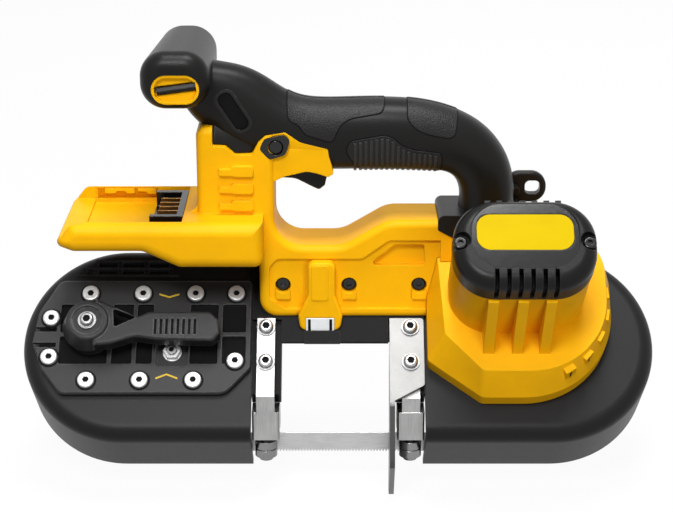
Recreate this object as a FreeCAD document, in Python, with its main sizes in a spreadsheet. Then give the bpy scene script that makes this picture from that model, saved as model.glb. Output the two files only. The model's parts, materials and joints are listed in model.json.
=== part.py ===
import FreeCAD, Part
import math
import os

import Sketcher

# A battery portable band saw. World frame: +Z up through the handle, +X along the
# blade towards the drive wheel, origin on the work stop's face at the tooth line.
# The wheel plane leans back by the tilt angle, so the band is twisted between the
# wheels and the guides. Wheel pieces are drawn in the wheel frame (x, u, k): x along
# the saw, u across the wheel plane, k along the wheel axles towards the user.

SIZES = (
    ("tilt_angle", 45.0),
    ("wheel_mid", -30.0),
    ("blade_plane", 8.0),
    ("blade_width", 12.0),
    ("blade_thickness", 0.5),
    ("wheel_radius", 52.5),
    ("wheel_spacing", 252.6),
    ("wheel_width", 16.0),
    ("tyre_thickness", 3.0),
    ("tyre_gap", 0.15),
    ("band_lead", 14.0),
    ("wheel_flange", 2.4),
    ("wheel_flange_width", 1.6),
    ("hub_radius", 15.0),
    ("web_thickness", 6.0),
    ("web_hole_radius", 9.0),
    ("guard_gap", 8.45),
    ("guard_wall", 3.5),
    ("guard_front", 4.0),
    ("guard_face", 30.0),
    ("guard_rim", 15.7),
    ("guard_round", 9.0),
    ("guard_end", 50.8),
    ("louvre_depth", 2.6),
    ("bar_face", 33.0),
    ("bar_back", 24.0),
    ("throat_width", 63.5),
    ("throat_height", 63.5),
    ("arm_width", 19.0),
    ("arm_back", 17.0),
    ("arm_drop", 29.8),
    ("plate_thickness", 4.0),
    ("plate_recess", 2.6),
    ("screw_head_radius", 5.0),
    ("screw_head_height", 2.2),
    ("screw_shank_radius", 2.0),
    ("screw_gap", 0.15),
    ("housing_screw_height", 2.6),
    ("housing_screw_seat", 6.0),
    ("socket_depth", 1.4),
    ("lever_pivot_x", -146.5),
    ("lever_pivot_u", 4.0),
    ("lever_length", 77.5),
    ("lever_base", 41.0),
    ("lever_thickness", 9.0),
    ("lever_hub_radius", 15.5),
    ("lever_hub_top", 12.0),
    ("lever_dish_radius", 8.8),
    ("lever_dish_depth", 1.5),
    ("lever_bolt_radius", 4.0),
    ("lever_bolt_height", 2.8),
    ("lever_washer_radius", 5.4),
    ("lever_washer_height", 1.0),
    ("lever_grip_width", 18.6),
    ("cam_radius", 8.0),
    ("cam_throw", 4.5),
    ("cam_gap", 1.1),
    ("cam_shaft_radius", 6.0),
    ("carriage_height", 48.0),
    ("carriage_thickness", 8.0),
    ("carriage_length", 78.0),
    ("slide_gap", 0.3),
    ("axle_radius", 6.0),
    ("idler_bearing_radius", 14.0),
    ("running_gap", 0.05),
    ("tracking_x", -97.8),
    ("tracking_u", -8.7),
    ("tracking_screw_radius", 3.0),
    ("tracking_nut_flat", 9.0),
    ("tracking_nut_rim", 5.6),
    ("tracking_nut_height", 4.5),
    ("spring_radius", 7.0),
    ("spring_wire", 1.8),
    ("spring_turns", 5.0),
    ("motor_x", 104.5),
    ("motor_u", 18.5),
    ("motor_radius", 23.5),
    ("gear_module", 1.0),
    ("pinion_teeth", 9.0),
    ("reduction_teeth", 45.0),
    ("relay_teeth", 10.0),
    ("drive_teeth", 56.0),
    ("gear_width", 6.0),
    ("drive_shaft_radius", 5.0),
    ("relay_shaft_radius", 3.0),
    ("motor_shaft_radius", 2.5),
    ("drive_bearing_radius", 13.0),
    ("drive_bearing_width", 8.0),
    ("motor_bearing_radius", 9.5),
    ("motor_bearing_width", 6.0),
    ("motor_flange_radius", 54.5),
    ("motor_flange_height", 10.0),
    ("drum_height", 18.0),
    ("drum_bend", 31.0),
    ("drum_drop", 17.0),
    ("drum_draft", 9.5),
    ("fin_width", 6.0),
    ("fin_foot", 13.5),
    ("vent_tab", 7.0),
    ("stator_top", 92.0),
    ("motor_top", 106.0),
    ("cap_front", 124.0),
    ("cap_width", 80.0),
    ("cap_height", 54.5),
    ("cap_corner", 24.0),
    ("cap_round", 8.0),
    ("cap_wall", 3.0),
    ("cap_screw_length", 22.0),
    ("cap_screw_radius", 3.8),
    ("cap_screw_height", 2.4),
    ("cap_screw_seat", 5.5),
    ("small_socket", 3.0),
    ("label_width", 54.0),
    ("label_height", 22.0),
    ("label_thickness", 1.2),
    ("handle_plane", 50.0),
    ("body_half", 19.0),
    ("body_round", 4.0),
    ("rib_stand", 2.6),
    ("rib_height", 6.2),
    ("field_depth", 2.0),
    ("window_depth", 6.0),
    ("screw_tab_width", 8.4),
    ("screw_tab_drop", 8.4),
    ("light_panel_stand", 0.6),
    ("tray_half", 41.0),
    ("tray_top", 141.0),
    ("bay_floor", 131.0),
    ("rail_height", 5.0),
    ("rail_step", 2.5),
    ("rail_lip", 3.0),
    ("rail_wall", 4.0),
    ("terminal_half", 25.0),
    ("terminal_wall", 3.6),
    ("terminal_pitch", 8.0),
    ("grip_half", 17.0),
    ("knob_half", 41.0),
    ("knob_width", 40.0),
    ("knob_height", 33.0),
    ("knob_x", -122.0),
    ("knob_z", 224.5),
    ("knob_corner", 14.5),
    ("knob_round", 9.0),
    ("knob_taper", 7.0),
    ("holder_width", 27.0),
    ("holder_height", 17.0),
    ("holder_depth", 12.0),
    ("holder_rim", 1.7),
    ("holder_dish", 2.6),
    ("key_flat", 4.0),
    ("key_tilt", 8.0),
    ("key_reach", 48.0),
    ("key_arm", 20.0),
    ("key_gap", 0.3),
    ("trigger_width", 12.0),
    ("trigger_gap", 0.5),
    ("trunnion_radius", 2.4),
    ("trunnion_length", 3.0),
    ("button_radius", 4.2),
    ("button_stand", 1.6),
    ("switch_length", 21.0),
    ("switch_height", 11.0),
    ("module_length", 31.0),
    ("module_width", 29.4),
    ("module_height", 31.0),
    ("bulge_stand", 6.0),
    ("lens_width", 16.6),
    ("lens_height", 5.6),
    ("lens_depth", 9.6),
    ("lens_mid", -10.7),
    ("board_thickness", 1.6),
    ("seat_gap", 0.3),
    ("guide_offset", 42.5),
    ("guide_bolt_low", -12.0),
    ("guide_bolt_high", 10.0),
    ("guide_top", 16.0),
    ("guide_neck", 6.5),
    ("guide_plate_width", 10.6),
    ("guide_plate_thickness", 6.0),
    ("guide_block_width", 16.0),
    ("guide_block_depth", 28.0),
    ("guide_block_top", 31.0),
    ("guide_block_bottom", 13.4),
    ("bolt_head_radius", 4.2),
    ("bolt_head_height", 3.6),
    ("bolt_shank_radius", 2.4),
    ("roller_radius", 6.5),
    ("roller_height", 10.0),
    ("roller_gap", 0.1),
    ("backup_width", 5.0),
    ("pin_radius", 2.0),
    ("stop_thickness", 3.0),
    ("stop_width", 20.5),
    ("stop_drop", 37.8),
    ("stop_reach", 23.5),
    ("hook_width", 25.0),
    ("hook_height", 19.0),
    ("hook_bar", 5.0),
    ("hook_depth", 6.0),
    ("hook_pin_radius", 2.5),
)

doc = FreeCAD.newDocument("PortableBandSaw")
sheet = doc.addObject("Spreadsheet::Sheet", "Sizes")
for row, (alias, number) in enumerate(SIZES, start=1):
    sheet.set("A%d" % row, alias)
    sheet.set("B%d" % row, str(number))
    sheet.setAlias("B%d" % row, alias)
doc.recompute()


class Dim:
    """A length that carries the sheet expression it comes from."""

    def __init__(self, value, text):
        self.value = float(value)
        self.text = text

    def __float__(self):
        return self.value

    def join(self, other, sign, value, swap=False):
        """Combine two lengths, or a length and a number, into one expression."""
        text = other.text if isinstance(other, Dim) else repr(float(other))
        first, second = (text, self.text) if swap else (self.text, text)
        return Dim(value, "(%s %s %s)" % (first, sign, second))

    def __add__(self, other):
        return self.join(other, "+", self.value + float(other))

    def __radd__(self, other):
        return self.join(other, "+", float(other) + self.value, True)

    def __sub__(self, other):
        return self.join(other, "-", self.value - float(other))

    def __rsub__(self, other):
        return self.join(other, "-", float(other) - self.value, True)

    def __mul__(self, other):
        return self.join(other, "*", self.value * float(other))

    def __rmul__(self, other):
        return self.join(other, "*", float(other) * self.value, True)

    def __truediv__(self, other):
        return self.join(other, "/", self.value / float(other))

    def __neg__(self):
        return Dim(-self.value, "(0 - %s)" % self.text)


class Sizes:
    """The sheet's lengths by alias."""

    def __getattr__(self, alias):
        return Dim(sheet.get(alias), "Sizes." + alias)


size = Sizes()
nodes = []

X_AXIS = FreeCAD.Vector(1, 0, 0)
Y_AXIS = FreeCAD.Vector(0, 1, 0)
Z_AXIS = FreeCAD.Vector(0, 0, 1)
FAR = 400.0

tilt = math.radians(float(size.tilt_angle))
wheel_origin = FreeCAD.Vector(
    float(size.wheel_mid),
    float(size.blade_plane) + float(size.wheel_radius) * math.cos(tilt),
    float(size.blade_width) / 2 + float(size.wheel_radius) * math.sin(tilt),
)
wheel_frame = FreeCAD.Placement(wheel_origin, FreeCAD.Rotation(X_AXIS, float(size.tilt_angle)))
world_frame = FreeCAD.Placement()
half_spacing = float(size.wheel_spacing) / 2
handle_y = float(size.handle_plane)


# Drawing helpers

def at(x, y, z=0.0, frame=world_frame):
    """A placement at a point of a frame."""
    return frame.multiply(FreeCAD.Placement(FreeCAD.Vector(float(x), float(y), float(z)),
                                            FreeCAD.Rotation()))


def side(y):
    """Map outline coordinates to an upright plane across the handle."""
    return lambda a, b: FreeCAD.Vector(a, y, b)


def flat(k):
    """Map outline coordinates to a plane square to the third axis."""
    return lambda a, b: FreeCAD.Vector(a, b, k)


def across(x):
    """Map outline coordinates to an upright plane square to the blade."""
    return lambda a, b: FreeCAD.Vector(x, a, b)


def outline(corners, plane):
    """Closed wire through (a, b, radius) corners, each rounded by a tangent arc."""
    points = [FreeCAD.Vector(float(a), float(b), 0) for a, b, r in corners]
    edges = []
    stops = []
    count = len(corners)
    for i, corner in enumerate(corners):
        here = points[i]
        radius = float(corner[2])
        if radius == 0:
            stops.append((here, here, None))
            continue
        back = (points[i - 1] - here).normalize()
        ahead = (points[(i + 1) % count] - here).normalize()
        half_angle = back.getAngle(ahead) / 2
        reach = radius / math.tan(half_angle)
        middle = (back + ahead).normalize() * (radius / math.sin(half_angle) - radius)
        stops.append((here + back * reach, here + ahead * reach, here + middle))
    for i, (start, end, middle) in enumerate(stops):
        last = stops[i - 1][1]
        if (start - last).Length > 1e-6:
            edges.append(Part.LineSegment(plane(last.x, last.y), plane(start.x, start.y)).toShape())
        if middle is not None:
            arc = Part.Arc(plane(start.x, start.y), plane(middle.x, middle.y), plane(end.x, end.y))
            edges.append(arc.toShape())
    return Part.Wire(edges)


def prism(corners, plane, sweep):
    """Solid swept straight from an outline of (a, b, radius) corners."""
    return Part.Face(outline(corners, plane)).extrude(sweep)


def rectangle(a, b, width, height, radius=0.0):
    """Corners of a rectangle about (a, b), its corners rounded."""
    w = float(width) / 2
    h = float(height) / 2
    return [(a - w, b - h, radius), (a + w, b - h, radius), (a + w, b + h, radius), (a - w, b + h, radius)]


def block(low, high):
    """Box between two corner points."""
    lengths = [float(b) - float(a) for a, b in zip(low, high)]
    return Part.makeBox(lengths[0], lengths[1], lengths[2], FreeCAD.Vector(*[float(v) for v in low]))


def rod(radius, start, end):
    """Cylinder between two points."""
    axis = end - start
    return Part.makeCylinder(float(radius), axis.Length, start, axis)


def flat_edges(shape, axis, level):
    """Edges that lie in the plane where one coordinate has the given level."""
    found = []
    for edge in shape.Edges:
        box = edge.BoundBox
        low, high = ((box.XMin, box.XMax), (box.YMin, box.YMax), (box.ZMin, box.ZMax))[axis]
        if abs(low - level) < 1e-4 and abs(high - level) < 1e-4:
            found.append(edge)
    return found


def halves(shape):
    """Split a shape at the handle's parting plane into its front and rear half."""
    front = block((-FAR, -FAR, -FAR), (FAR, handle_y, FAR))
    rear = block((-FAR, handle_y, -FAR), (FAR, FAR, FAR))
    return shape.common(front), shape.common(rear)


# Document helpers

def bind(item, name, length):
    """Set a property and tie it to the sheet."""
    setattr(item, name, float(length))
    if isinstance(length, Dim):
        item.setExpression(name, length.text)


def keep(item, label, placement=world_frame):
    """Give a document object its node name and its place."""
    item.Label = label
    item.Placement = placement
    nodes.append(item)
    return item


def feature(label, shape, placement=world_frame):
    """Sub-part whose shape comes from the sheet's lengths in code."""
    item = doc.addObject("Part::Feature", label)
    item.Shape = shape
    return keep(item, label, placement.multiply(shape.Placement))


def pin_point(sketch, index, a, b):
    """Tie the start of a sketch line to lengths measured from the sketch origin."""
    for kind, axis, length in (("DistanceX", -2, a), ("DistanceY", -1, b)):
        value = float(length)
        if abs(value) < 1e-9:
            sketch.addConstraint(Sketcher.Constraint("PointOnObject", index, 1, axis))
            continue
        if value > 0:
            constraint = Sketcher.Constraint(kind, -1, 1, index, 1, value)
        else:
            constraint = Sketcher.Constraint(kind, index, 1, -1, 1, -value)
        number = sketch.addConstraint(constraint)
        if isinstance(length, Dim):
            signed = length if value > 0 else -length
            sketch.setExpression("Constraints[%d]" % number, signed.text)


def sketch_loop(sketch, points):
    """Close a loop of lines through points, each tied to the sheet."""
    first = sketch.GeometryCount
    count = len(points)
    places = [FreeCAD.Vector(float(a), float(b), 0) for a, b in points]
    for i in range(count):
        sketch.addGeometry(Part.LineSegment(places[i], places[(i + 1) % count]), False)
    for i in range(count):
        sketch.addConstraint(Sketcher.Constraint("Coincident", first + i, 2, first + (i + 1) % count, 1))
    for i, (a, b) in enumerate(points):
        pin_point(sketch, first + i, a, b)


def sketch_circle(sketch, a, b, radius):
    """Circle whose centre and radius are tied to the sheet."""
    centre = FreeCAD.Vector(float(a), float(b), 0)
    index = sketch.addGeometry(Part.Circle(centre, Z_AXIS, float(radius)), False)
    number = sketch.addConstraint(Sketcher.Constraint("Radius", index, float(radius)))
    if isinstance(radius, Dim):
        sketch.setExpression("Constraints[%d]" % number, radius.text)
    for kind, axis, length in (("DistanceX", -2, a), ("DistanceY", -1, b)):
        value = float(length)
        if abs(value) < 1e-9:
            sketch.addConstraint(Sketcher.Constraint("PointOnObject", index, 3, axis))
            continue
        if value > 0:
            constraint = Sketcher.Constraint(kind, -1, 1, index, 3, value)
        else:
            constraint = Sketcher.Constraint(kind, index, 3, -1, 1, -value)
        number = sketch.addConstraint(constraint)
        if isinstance(length, Dim):
            signed = length if value > 0 else -length
            sketch.setExpression("Constraints[%d]" % number, signed.text)


def new_sketch(body, name, role):
    """Sketch on one of the body's own origin planes."""
    sketch = body.newObject("Sketcher::SketchObject", name)
    plane = next(item for item in body.Origin.OriginFeatures if item.Role == role)
    sketch.AttachmentSupport = [(plane, "")]
    sketch.MapMode = "FlatFace"
    return sketch


def turned_body(label, profile, placement=world_frame):
    """Body turned about its Z axis from (radius, height) profile points."""
    body = doc.addObject("PartDesign::Body", label)
    sketch = new_sketch(body, label + "_profile", "XZ_Plane")
    sketch_loop(sketch, profile)
    doc.recompute()
    turned = body.newObject("PartDesign::Revolution", label + "_turned")
    turned.Profile = sketch
    turned.ReferenceAxis = (sketch, ["V_Axis"])
    turned.Angle = 360.0
    doc.recompute()
    return keep(body, label, placement)


def padded_body(label, role, points, length, placement=world_frame, holes=(), midplane=False):
    """Body padded from a loop of points, with round holes through it."""
    body = doc.addObject("PartDesign::Body", label)
    sketch = new_sketch(body, label + "_outline", role)
    sketch_loop(sketch, points)
    for a, b, radius in holes:
        sketch_circle(sketch, a, b, radius)
    doc.recompute()
    pad = body.newObject("PartDesign::Pad", label + "_pad")
    pad.Profile = sketch
    pad.Midplane = midplane
    bind(pad, "Length", length)
    doc.recompute()
    return keep(body, label, placement)


def ring(label, inner, outer, height, placement):
    """Plain ring, such as a bearing or a tyre."""
    return turned_body(label, [(inner, 0), (outer, 0), (outer, height), (inner, height)], placement)


# Band

def band_section(x, angle):
    """Band outline at one place of the lower run, turned by the twist angle."""
    half_width = float(size.blade_width) / 2
    half_thick = float(size.blade_thickness) / 2
    wide = FreeCAD.Vector(0, math.sin(angle), math.cos(angle)) * half_width
    thick = FreeCAD.Vector(0, math.cos(angle), -math.sin(angle)) * half_thick
    centre = FreeCAD.Vector(x, -float(size.wheel_radius), 0)
    points = [centre + wide + thick, centre + wide - thick, centre - wide - thick, centre - wide + thick]
    return Part.makePolygon(points + points[:1])


def saw_blade():
    """Endless band: half turns on the wheels, a flat upper run and a twisted lower run."""
    radius = float(size.wheel_radius)
    half_width = float(size.blade_width) / 2
    half_thick = float(size.blade_thickness) / 2
    straight = float(size.guide_offset) + float(size.roller_radius)
    lead = half_spacing - float(size.band_lead)
    pieces = [block((-half_spacing, radius - half_thick, -half_width),
                    (half_spacing, radius + half_thick, half_width))]
    for sign in (-1, 1):
        axis = FreeCAD.Vector(sign * half_spacing, 0, -half_width)
        outer = Part.makeCylinder(radius + half_thick, 2 * half_width, axis)
        inner = Part.makeCylinder(radius - half_thick, 2 * half_width, axis)
        outside = block((sign * half_spacing, -FAR, -FAR), (sign * half_spacing + FAR, FAR, FAR))
        if sign < 0:
            outside = block((-half_spacing - FAR, -FAR, -FAR), (-half_spacing, FAR, FAR))
        pieces.append(outer.cut(inner).common(outside))
        steps = 6
        span = lead - straight
        sections = [band_section(sign * half_spacing, 0.0)]
        sections += [band_section(sign * (lead - span * i / steps),
                                  tilt * i / steps) for i in range(steps + 1)]
        pieces.append(Part.makeLoft(sections, True, True))
    pieces.append(Part.makeLoft([band_section(-straight, tilt), band_section(straight, tilt)], True, True))
    band = pieces[0].fuse(pieces[1:]).removeSplitter()
    feature("saw_blade", band, wheel_frame)


# Wheels

def band_wheel(label, bore, placement):
    """Cast wheel with a rim, a web with round holes, a hub and a flange behind the band."""
    half_width = size.wheel_width / 2
    rim_outer = size.wheel_radius - size.blade_thickness / 2 - size.tyre_gap - size.tyre_thickness
    rim_inner = rim_outer - size.tyre_thickness * 2
    flange = size.wheel_radius + size.wheel_flange
    flange_low = half_width - size.wheel_flange_width
    web = size.web_thickness / 2
    profile = [
        (bore, -half_width), (size.hub_radius, -half_width), (size.hub_radius, -web),
        (rim_inner, -web), (rim_inner, -half_width), (rim_outer, -half_width),
        (rim_outer, flange_low), (flange, flange_low), (flange, half_width),
        (rim_inner, half_width), (rim_inner, web), (size.hub_radius, web),
        (size.hub_radius, half_width), (bore, half_width),
    ]
    body = turned_body(label, profile, placement)
    sketch = new_sketch(body, label + "_hole", "XY_Plane")
    sketch_circle(sketch, (rim_inner + size.hub_radius) / 2, 0, size.web_hole_radius)
    doc.recompute()
    before = body.Shape.Volume
    pocket = body.newObject("PartDesign::Pocket", label + "_pocket")
    pocket.Profile = sketch
    pocket.Midplane = True
    bind(pocket, "Length", size.wheel_width)
    doc.recompute()
    pattern = body.newObject("PartDesign::PolarPattern", label + "_holes")
    pattern.Originals = [pocket]
    pattern.Axis = (next(f for f in body.Origin.OriginFeatures if f.Role == "Z_Axis"), [""])
    pattern.Angle = 360.0
    pattern.Occurrences = 6
    body.Tip = pattern
    doc.recompute()
    assert body.Shape.Volume < before
    tyre_outer = rim_outer + size.tyre_thickness
    return rim_outer, tyre_outer, flange_low + half_width


def drive_side():
    """Drive wheel with its tyre, shaft, gear and bolt."""
    low = -size.wheel_width / 2
    centre = at(half_spacing, 0, 0, wheel_frame)
    rim, tyre, width = band_wheel("drive_wheel", size.drive_shaft_radius, centre)
    ring("drive_tyre", rim, tyre, width, at(half_spacing, 0, low, wheel_frame))
    reach = float(size.guard_face) + 9.0
    shaft = [(0, low), (size.drive_shaft_radius, low), (size.drive_shaft_radius, reach), (0, reach)]
    turned_body("drive_shaft", shaft, centre)
    head = size.hub_radius - 5.0
    bolt = [(0, -3.0), (head - 2.0, -3.0), (head, -1.5), (head, 0), (0, 0)]
    turned_body("drive_wheel_bolt", bolt, at(half_spacing, 0, low, wheel_frame))


def idler_side():
    """Idler wheel with its tyre, bearing and axle."""
    low = -size.wheel_width / 2
    centre = at(-half_spacing, 0, 0, wheel_frame)
    rim, tyre, width = band_wheel("idler_wheel", size.idler_bearing_radius, centre)
    ring("idler_tyre", rim, tyre, width, at(-half_spacing, 0, low, wheel_frame))
    inner = size.axle_radius + size.running_gap
    ring("idler_bearing", inner, size.idler_bearing_radius, size.wheel_width,
         at(-half_spacing, 0, low, wheel_frame))
    top = carriage_low()
    collar = size.axle_radius + 3.0
    shoulder = size.wheel_width / 2 + 0.3
    head = low - 0.3
    profile = [
        (0, head - 2.5), (collar, head - 2.5), (collar, head), (size.axle_radius, head),
        (size.axle_radius, shoulder), (collar, shoulder), (collar, top), (0, top),
    ]
    turned_body("idler_axle", profile, centre)


# Guards and frame

def guard_corners(sign, shrink, end):
    """Outline of a wheel guard: a half circle run out to a straight inner end."""
    radius = float(size.wheel_radius) + float(size.guard_gap) - shrink
    far = half_spacing + radius
    corners = [(sign * end, -radius, 0), (sign * far, -radius, radius * 0.9999),
               (sign * far, radius, radius * 0.9999), (sign * end, radius, 0)]
    return corners


def guard_shell(sign):
    """Wheel guard, open at the back, with its front edge rounded."""
    depth = float(size.guard_face) + float(size.guard_rim)
    end = float(size.guard_end)
    outer = prism(guard_corners(sign, 0.0, end), flat(-float(size.guard_rim)), Z_AXIS * depth)
    rim = [e for e in flat_edges(outer, 2, float(size.guard_face))
           if abs(abs(e.CenterOfMass.x) - end) > 1e-3]
    outer = outer.makeFillet(float(size.guard_round), rim)
    cavity = prism(guard_corners(sign, float(size.guard_wall), end - 1.0),
                   flat(-float(size.guard_rim) - 1.0),
                   Z_AXIS * (depth + 1.0 - float(size.guard_front)))
    return outer.cut(cavity)


def carriage_low():
    """Level of the tension carriage's inner face."""
    return size.guard_face - size.guard_front - size.slide_gap - size.carriage_thickness


def idler_guard():
    """Guard over the idler wheel, with the carriage window, its two rails and the spring lug."""
    shell = guard_shell(-1)
    inner = float(size.guard_face) - float(size.guard_front)
    window = block((-half_spacing - 30.0, -16.0, inner - 1.0), (-half_spacing + 34.0, 20.0, FAR))
    shell = shell.cut(window)
    rail_low = float(carriage_low()) - 2.0
    rail = float(size.carriage_height) / 2 + float(size.slide_gap)
    rails = [block((-half_spacing - 46.0, low, rail_low), (-half_spacing + 48.0, low + 5.0, inner))
             for low in (-rail - 5.0, rail)]
    lug_x = carriage_right() + float(size.cam_throw) * 2 + 16.0
    lug = block((lug_x, -10.0, float(carriage_low()) - 1.0), (lug_x + 6.0, 10.0, inner))
    holes = [rod(float(size.screw_shank_radius) + float(size.screw_gap), FreeCAD.Vector(x, u, inner - 1.0),
                 FreeCAD.Vector(x, u, float(size.guard_face) + 1.0)) for x, u in plate_screw_places()]
    floor = float(size.guard_face) - float(size.louvre_depth)
    louvres = [block((left, low, floor), (right, high, FAR)) for left, right, low, high in LOUVRES]
    feature("idler_guard", shell.fuse(rails + [lug]).cut(holes + louvres).removeSplitter(), wheel_frame)


def drive_guard():
    """Guard over the drive wheel, with the bearing boss and the relay shaft's seat."""
    shell = guard_shell(1)
    face = float(size.guard_face)
    boss_radius = float(size.drive_bearing_radius) + 4.0
    centre = FreeCAD.Vector(half_spacing, 0, 0)
    boss = rod(boss_radius, centre + Z_AXIS * 12.0, centre + Z_AXIS * face)
    relay = relay_centre()
    relay_boss = rod(float(size.relay_shaft_radius) + 4.0, relay + Z_AXIS * (face - 8.0),
                     relay + Z_AXIS * face)
    shell = shell.fuse([boss, relay_boss]).removeSplitter()
    lip = rod(float(size.drive_bearing_radius) - 3.0, centre - Z_AXIS * FAR, centre + Z_AXIS * FAR)
    seat = rod(size.drive_bearing_radius, centre + Z_AXIS * 13.5, centre + Z_AXIS * (face + 1.0))
    hole = rod(float(size.relay_shaft_radius) + float(size.running_gap), relay + Z_AXIS * (face - 6.0),
               relay + Z_AXIS * (face + 1.0))
    feature("drive_guard", shell.cut([lip, seat, hole]), wheel_frame)


def in_wheel_frame(x, y, z):
    """World point in wheel frame coordinates."""
    return wheel_frame.inverse().multVec(FreeCAD.Vector(x, y, z))


def bar_low():
    """Lower edge of the frame bar's front face, at the top of the throat."""
    rise = float(size.throat_height) - wheel_origin.z
    return rise / math.sin(tilt) - float(size.bar_face) / math.tan(tilt)


def main_frame():
    """Frame bar over the throat with its blade cover and the two guide arms."""
    end = float(size.guard_end)
    face = float(size.bar_face)
    back = float(size.bar_back)
    top = float(size.wheel_radius) + float(size.guard_gap)
    wall = float(size.guard_wall)
    low = bar_low()
    low_back = low + (face - back) / math.tan(tilt)
    rim = -float(size.guard_rim)
    corners = [
        (low, face, 1.0), (low_back, back, 2.0), (top - wall, back, 2.0), (top - wall, rim, 0.0),
        (top, rim, 0.0), (top, back + 4.0, 6.0), (top - 12.0, face, 4.0),
    ]
    bar = prism(corners, across(-end), X_AXIS * 2 * end)
    seat = float(size.guard_face)
    arm = float(size.arm_width)
    left = -float(size.wheel_mid) - float(size.throat_width)
    arms = []
    for inner, outer in ((left, -end), (-float(size.wheel_mid) + float(size.stop_thickness) + 0.5, end)):
        arms.append(block((min(inner, outer), low - float(size.arm_drop), float(size.arm_back)),
                          (max(inner, outer), low_back + arm, seat)))
    notch_top = low + float(size.guide_top) + 2 * float(size.seat_gap)
    notch = [block((min(inner, outer), low - float(size.arm_drop), seat),
                   (max(inner, outer), notch_top, FAR))
             for inner, outer in ((left, -end), (-float(size.wheel_mid) - 0.4, end))]
    tab_top = float(lens_corners()[0][0]) - float(size.seat_gap)
    tab = block((float(size.lens_mid) - 9.3, low + 1.0, face - 1.0),
                (float(size.lens_mid) + 11.7, tab_top, face + 2.0))
    frame = bar.cut(notch).fuse(arms + [tab]).removeSplitter()
    holes = [rod(float(size.bolt_shank_radius) + 0.1, FreeCAD.Vector(x, u, seat - 10.0),
                 FreeCAD.Vector(x, u, FAR))
             for x, u in guide_bolt_places()]
    to_local = wheel_frame.inverse()
    for x, z in HOUSING_SCREWS:
        start = to_local.multVec(FreeCAD.Vector(x, handle_y - 10.0, z))
        end_point = to_local.multVec(FreeCAD.Vector(x, handle_y + 10.4, z))
        holes.append(rod(float(size.screw_shank_radius) + 0.1, start, end_point))
    feature("main_frame", frame.cut(holes), wheel_frame)


# Tension side

LOUVRES = (
    (-144.5, -133.0, 48.0, 51.2), (-130.0, -117.0, 48.0, 51.2), (-114.0, -102.0, 48.0, 51.2),
    (-152.0, -147.5, 43.4, 46.2), (-144.5, -133.0, 43.4, 46.2), (-130.0, -117.0, 43.4, 46.2),
    (-114.0, -102.0, 43.4, 46.2),
)
PLATE_OUTLINE = (
    (-166.0, 37.5, 6.0), (-177.8, 16.5, 6.0), (-180.6, -2.9, 6.0),
    (-174.1, -20.1, 6.0), (-162.6, -35.2, 6.0), (-66.1, -35.2, 10.0),
)
PLATE_SCREW_ROWS = (
    (-147.5, 28.3), (-116.2, 28.3), (-84.9, 28.3), (-60.6, 28.3), (-170.0, 12.4),
    (-170.0, -12.4), (-147.5, -27.0), (-116.2, -27.0), (-84.9, -27.0), (-60.6, -14.9),
)


def plate_screw_places():
    """Screws round the tension plate."""
    return PLATE_SCREW_ROWS


def plate_level():
    """Outer face of the tension plate."""
    return float(size.guard_face) + float(size.plate_thickness)


def tension_plate():
    """Ribbed plate over the tension mechanism."""
    face = float(size.guard_face)
    top = plate_level()
    right = -float(size.guard_end) - float(size.seat_gap)
    corners = ((right, 37.5, 3.0),) + PLATE_OUTLINE + ((right, -18.8, 5.0),)
    plate = prism(corners, flat(face), Z_AXIS * float(size.plate_thickness))
    plate = plate.makeChamfer(1.0, flat_edges(plate, 2, top))
    pivot = FreeCAD.Vector(float(size.lever_pivot_x), float(size.lever_pivot_u), 0)
    floor = top - float(size.plate_recess)
    pockets = []
    for left, right in ((-164.5, -136.0), (-133.5, -121.5), (-119.0, -109.5), (-87.5, -71.0),
                        (-68.5, -54.5)):
        for low, high in ((-16.5, 1.0), (3.5, 21.5)):
            middle = ((left + right) / 2, (low + high) / 2)
            pockets.append(prism(rectangle(*middle, right - left, high - low, 1.0), flat(floor),
                                 Z_AXIS * FAR))
    nut_seat = prism(rectangle(float(size.tracking_x), float(size.tracking_u) + 1.0, 19.0, 21.0, 2.0),
                     flat(floor), Z_AXIS * FAR)
    slots = [block((-181.0, u, floor), (-166.5, u + 3.0, FAR)) for u in (-6.0, 4.0)]
    plate = plate.cut(pockets + [nut_seat] + slots)
    boss_top = float(size.lever_base) - float(size.slide_gap)
    boss = rod(float(size.lever_hub_radius) - 2.0, pivot + Z_AXIS * face, pivot + Z_AXIS * boss_top)
    plate = plate.fuse(boss).removeSplitter()
    bores = [rod(float(size.cam_shaft_radius) + float(size.running_gap), pivot - Z_AXIS * FAR,
                 pivot + Z_AXIS * FAR)]
    tracking = FreeCAD.Vector(float(size.tracking_x), float(size.tracking_u), 0)
    bores.append(rod(float(size.tracking_screw_radius) + float(size.running_gap), tracking,
                     tracking + Z_AXIS * FAR))
    for x, u in plate_screw_places():
        bores.append(rod(float(size.screw_shank_radius) + float(size.screw_gap), FreeCAD.Vector(x, u, 0),
                         FreeCAD.Vector(x, u, FAR)))
    feature("tension_plate", plate.cut(bores), wheel_frame)


def socket_screw(head_radius, head_height, shank_radius, shank_length, socket_flat, socket_depth):
    """Domed head screw standing on z = 0, its hexagon socket open upwards."""
    head = Part.makeCylinder(head_radius, head_height)
    head = head.makeFillet(head_height * 0.45, flat_edges(head, 2, head_height))
    shank = Part.makeCylinder(shank_radius, shank_length, FreeCAD.Vector(0, 0, -shank_length))
    socket = hexagon(socket_flat, head_height - socket_depth, socket_depth + 1.0)
    return head.fuse(shank).removeSplitter().cut(socket)


def hexagon(across_flats, low, height):
    """Hexagonal prism on the Z axis."""
    reach = across_flats / math.sqrt(3)
    points = [FreeCAD.Vector(reach * math.cos(math.pi * i / 3), reach * math.sin(math.pi * i / 3), low)
              for i in range(6)]
    return Part.Face(Part.makePolygon(points + points[:1])).extrude(Z_AXIS * height)


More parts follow.
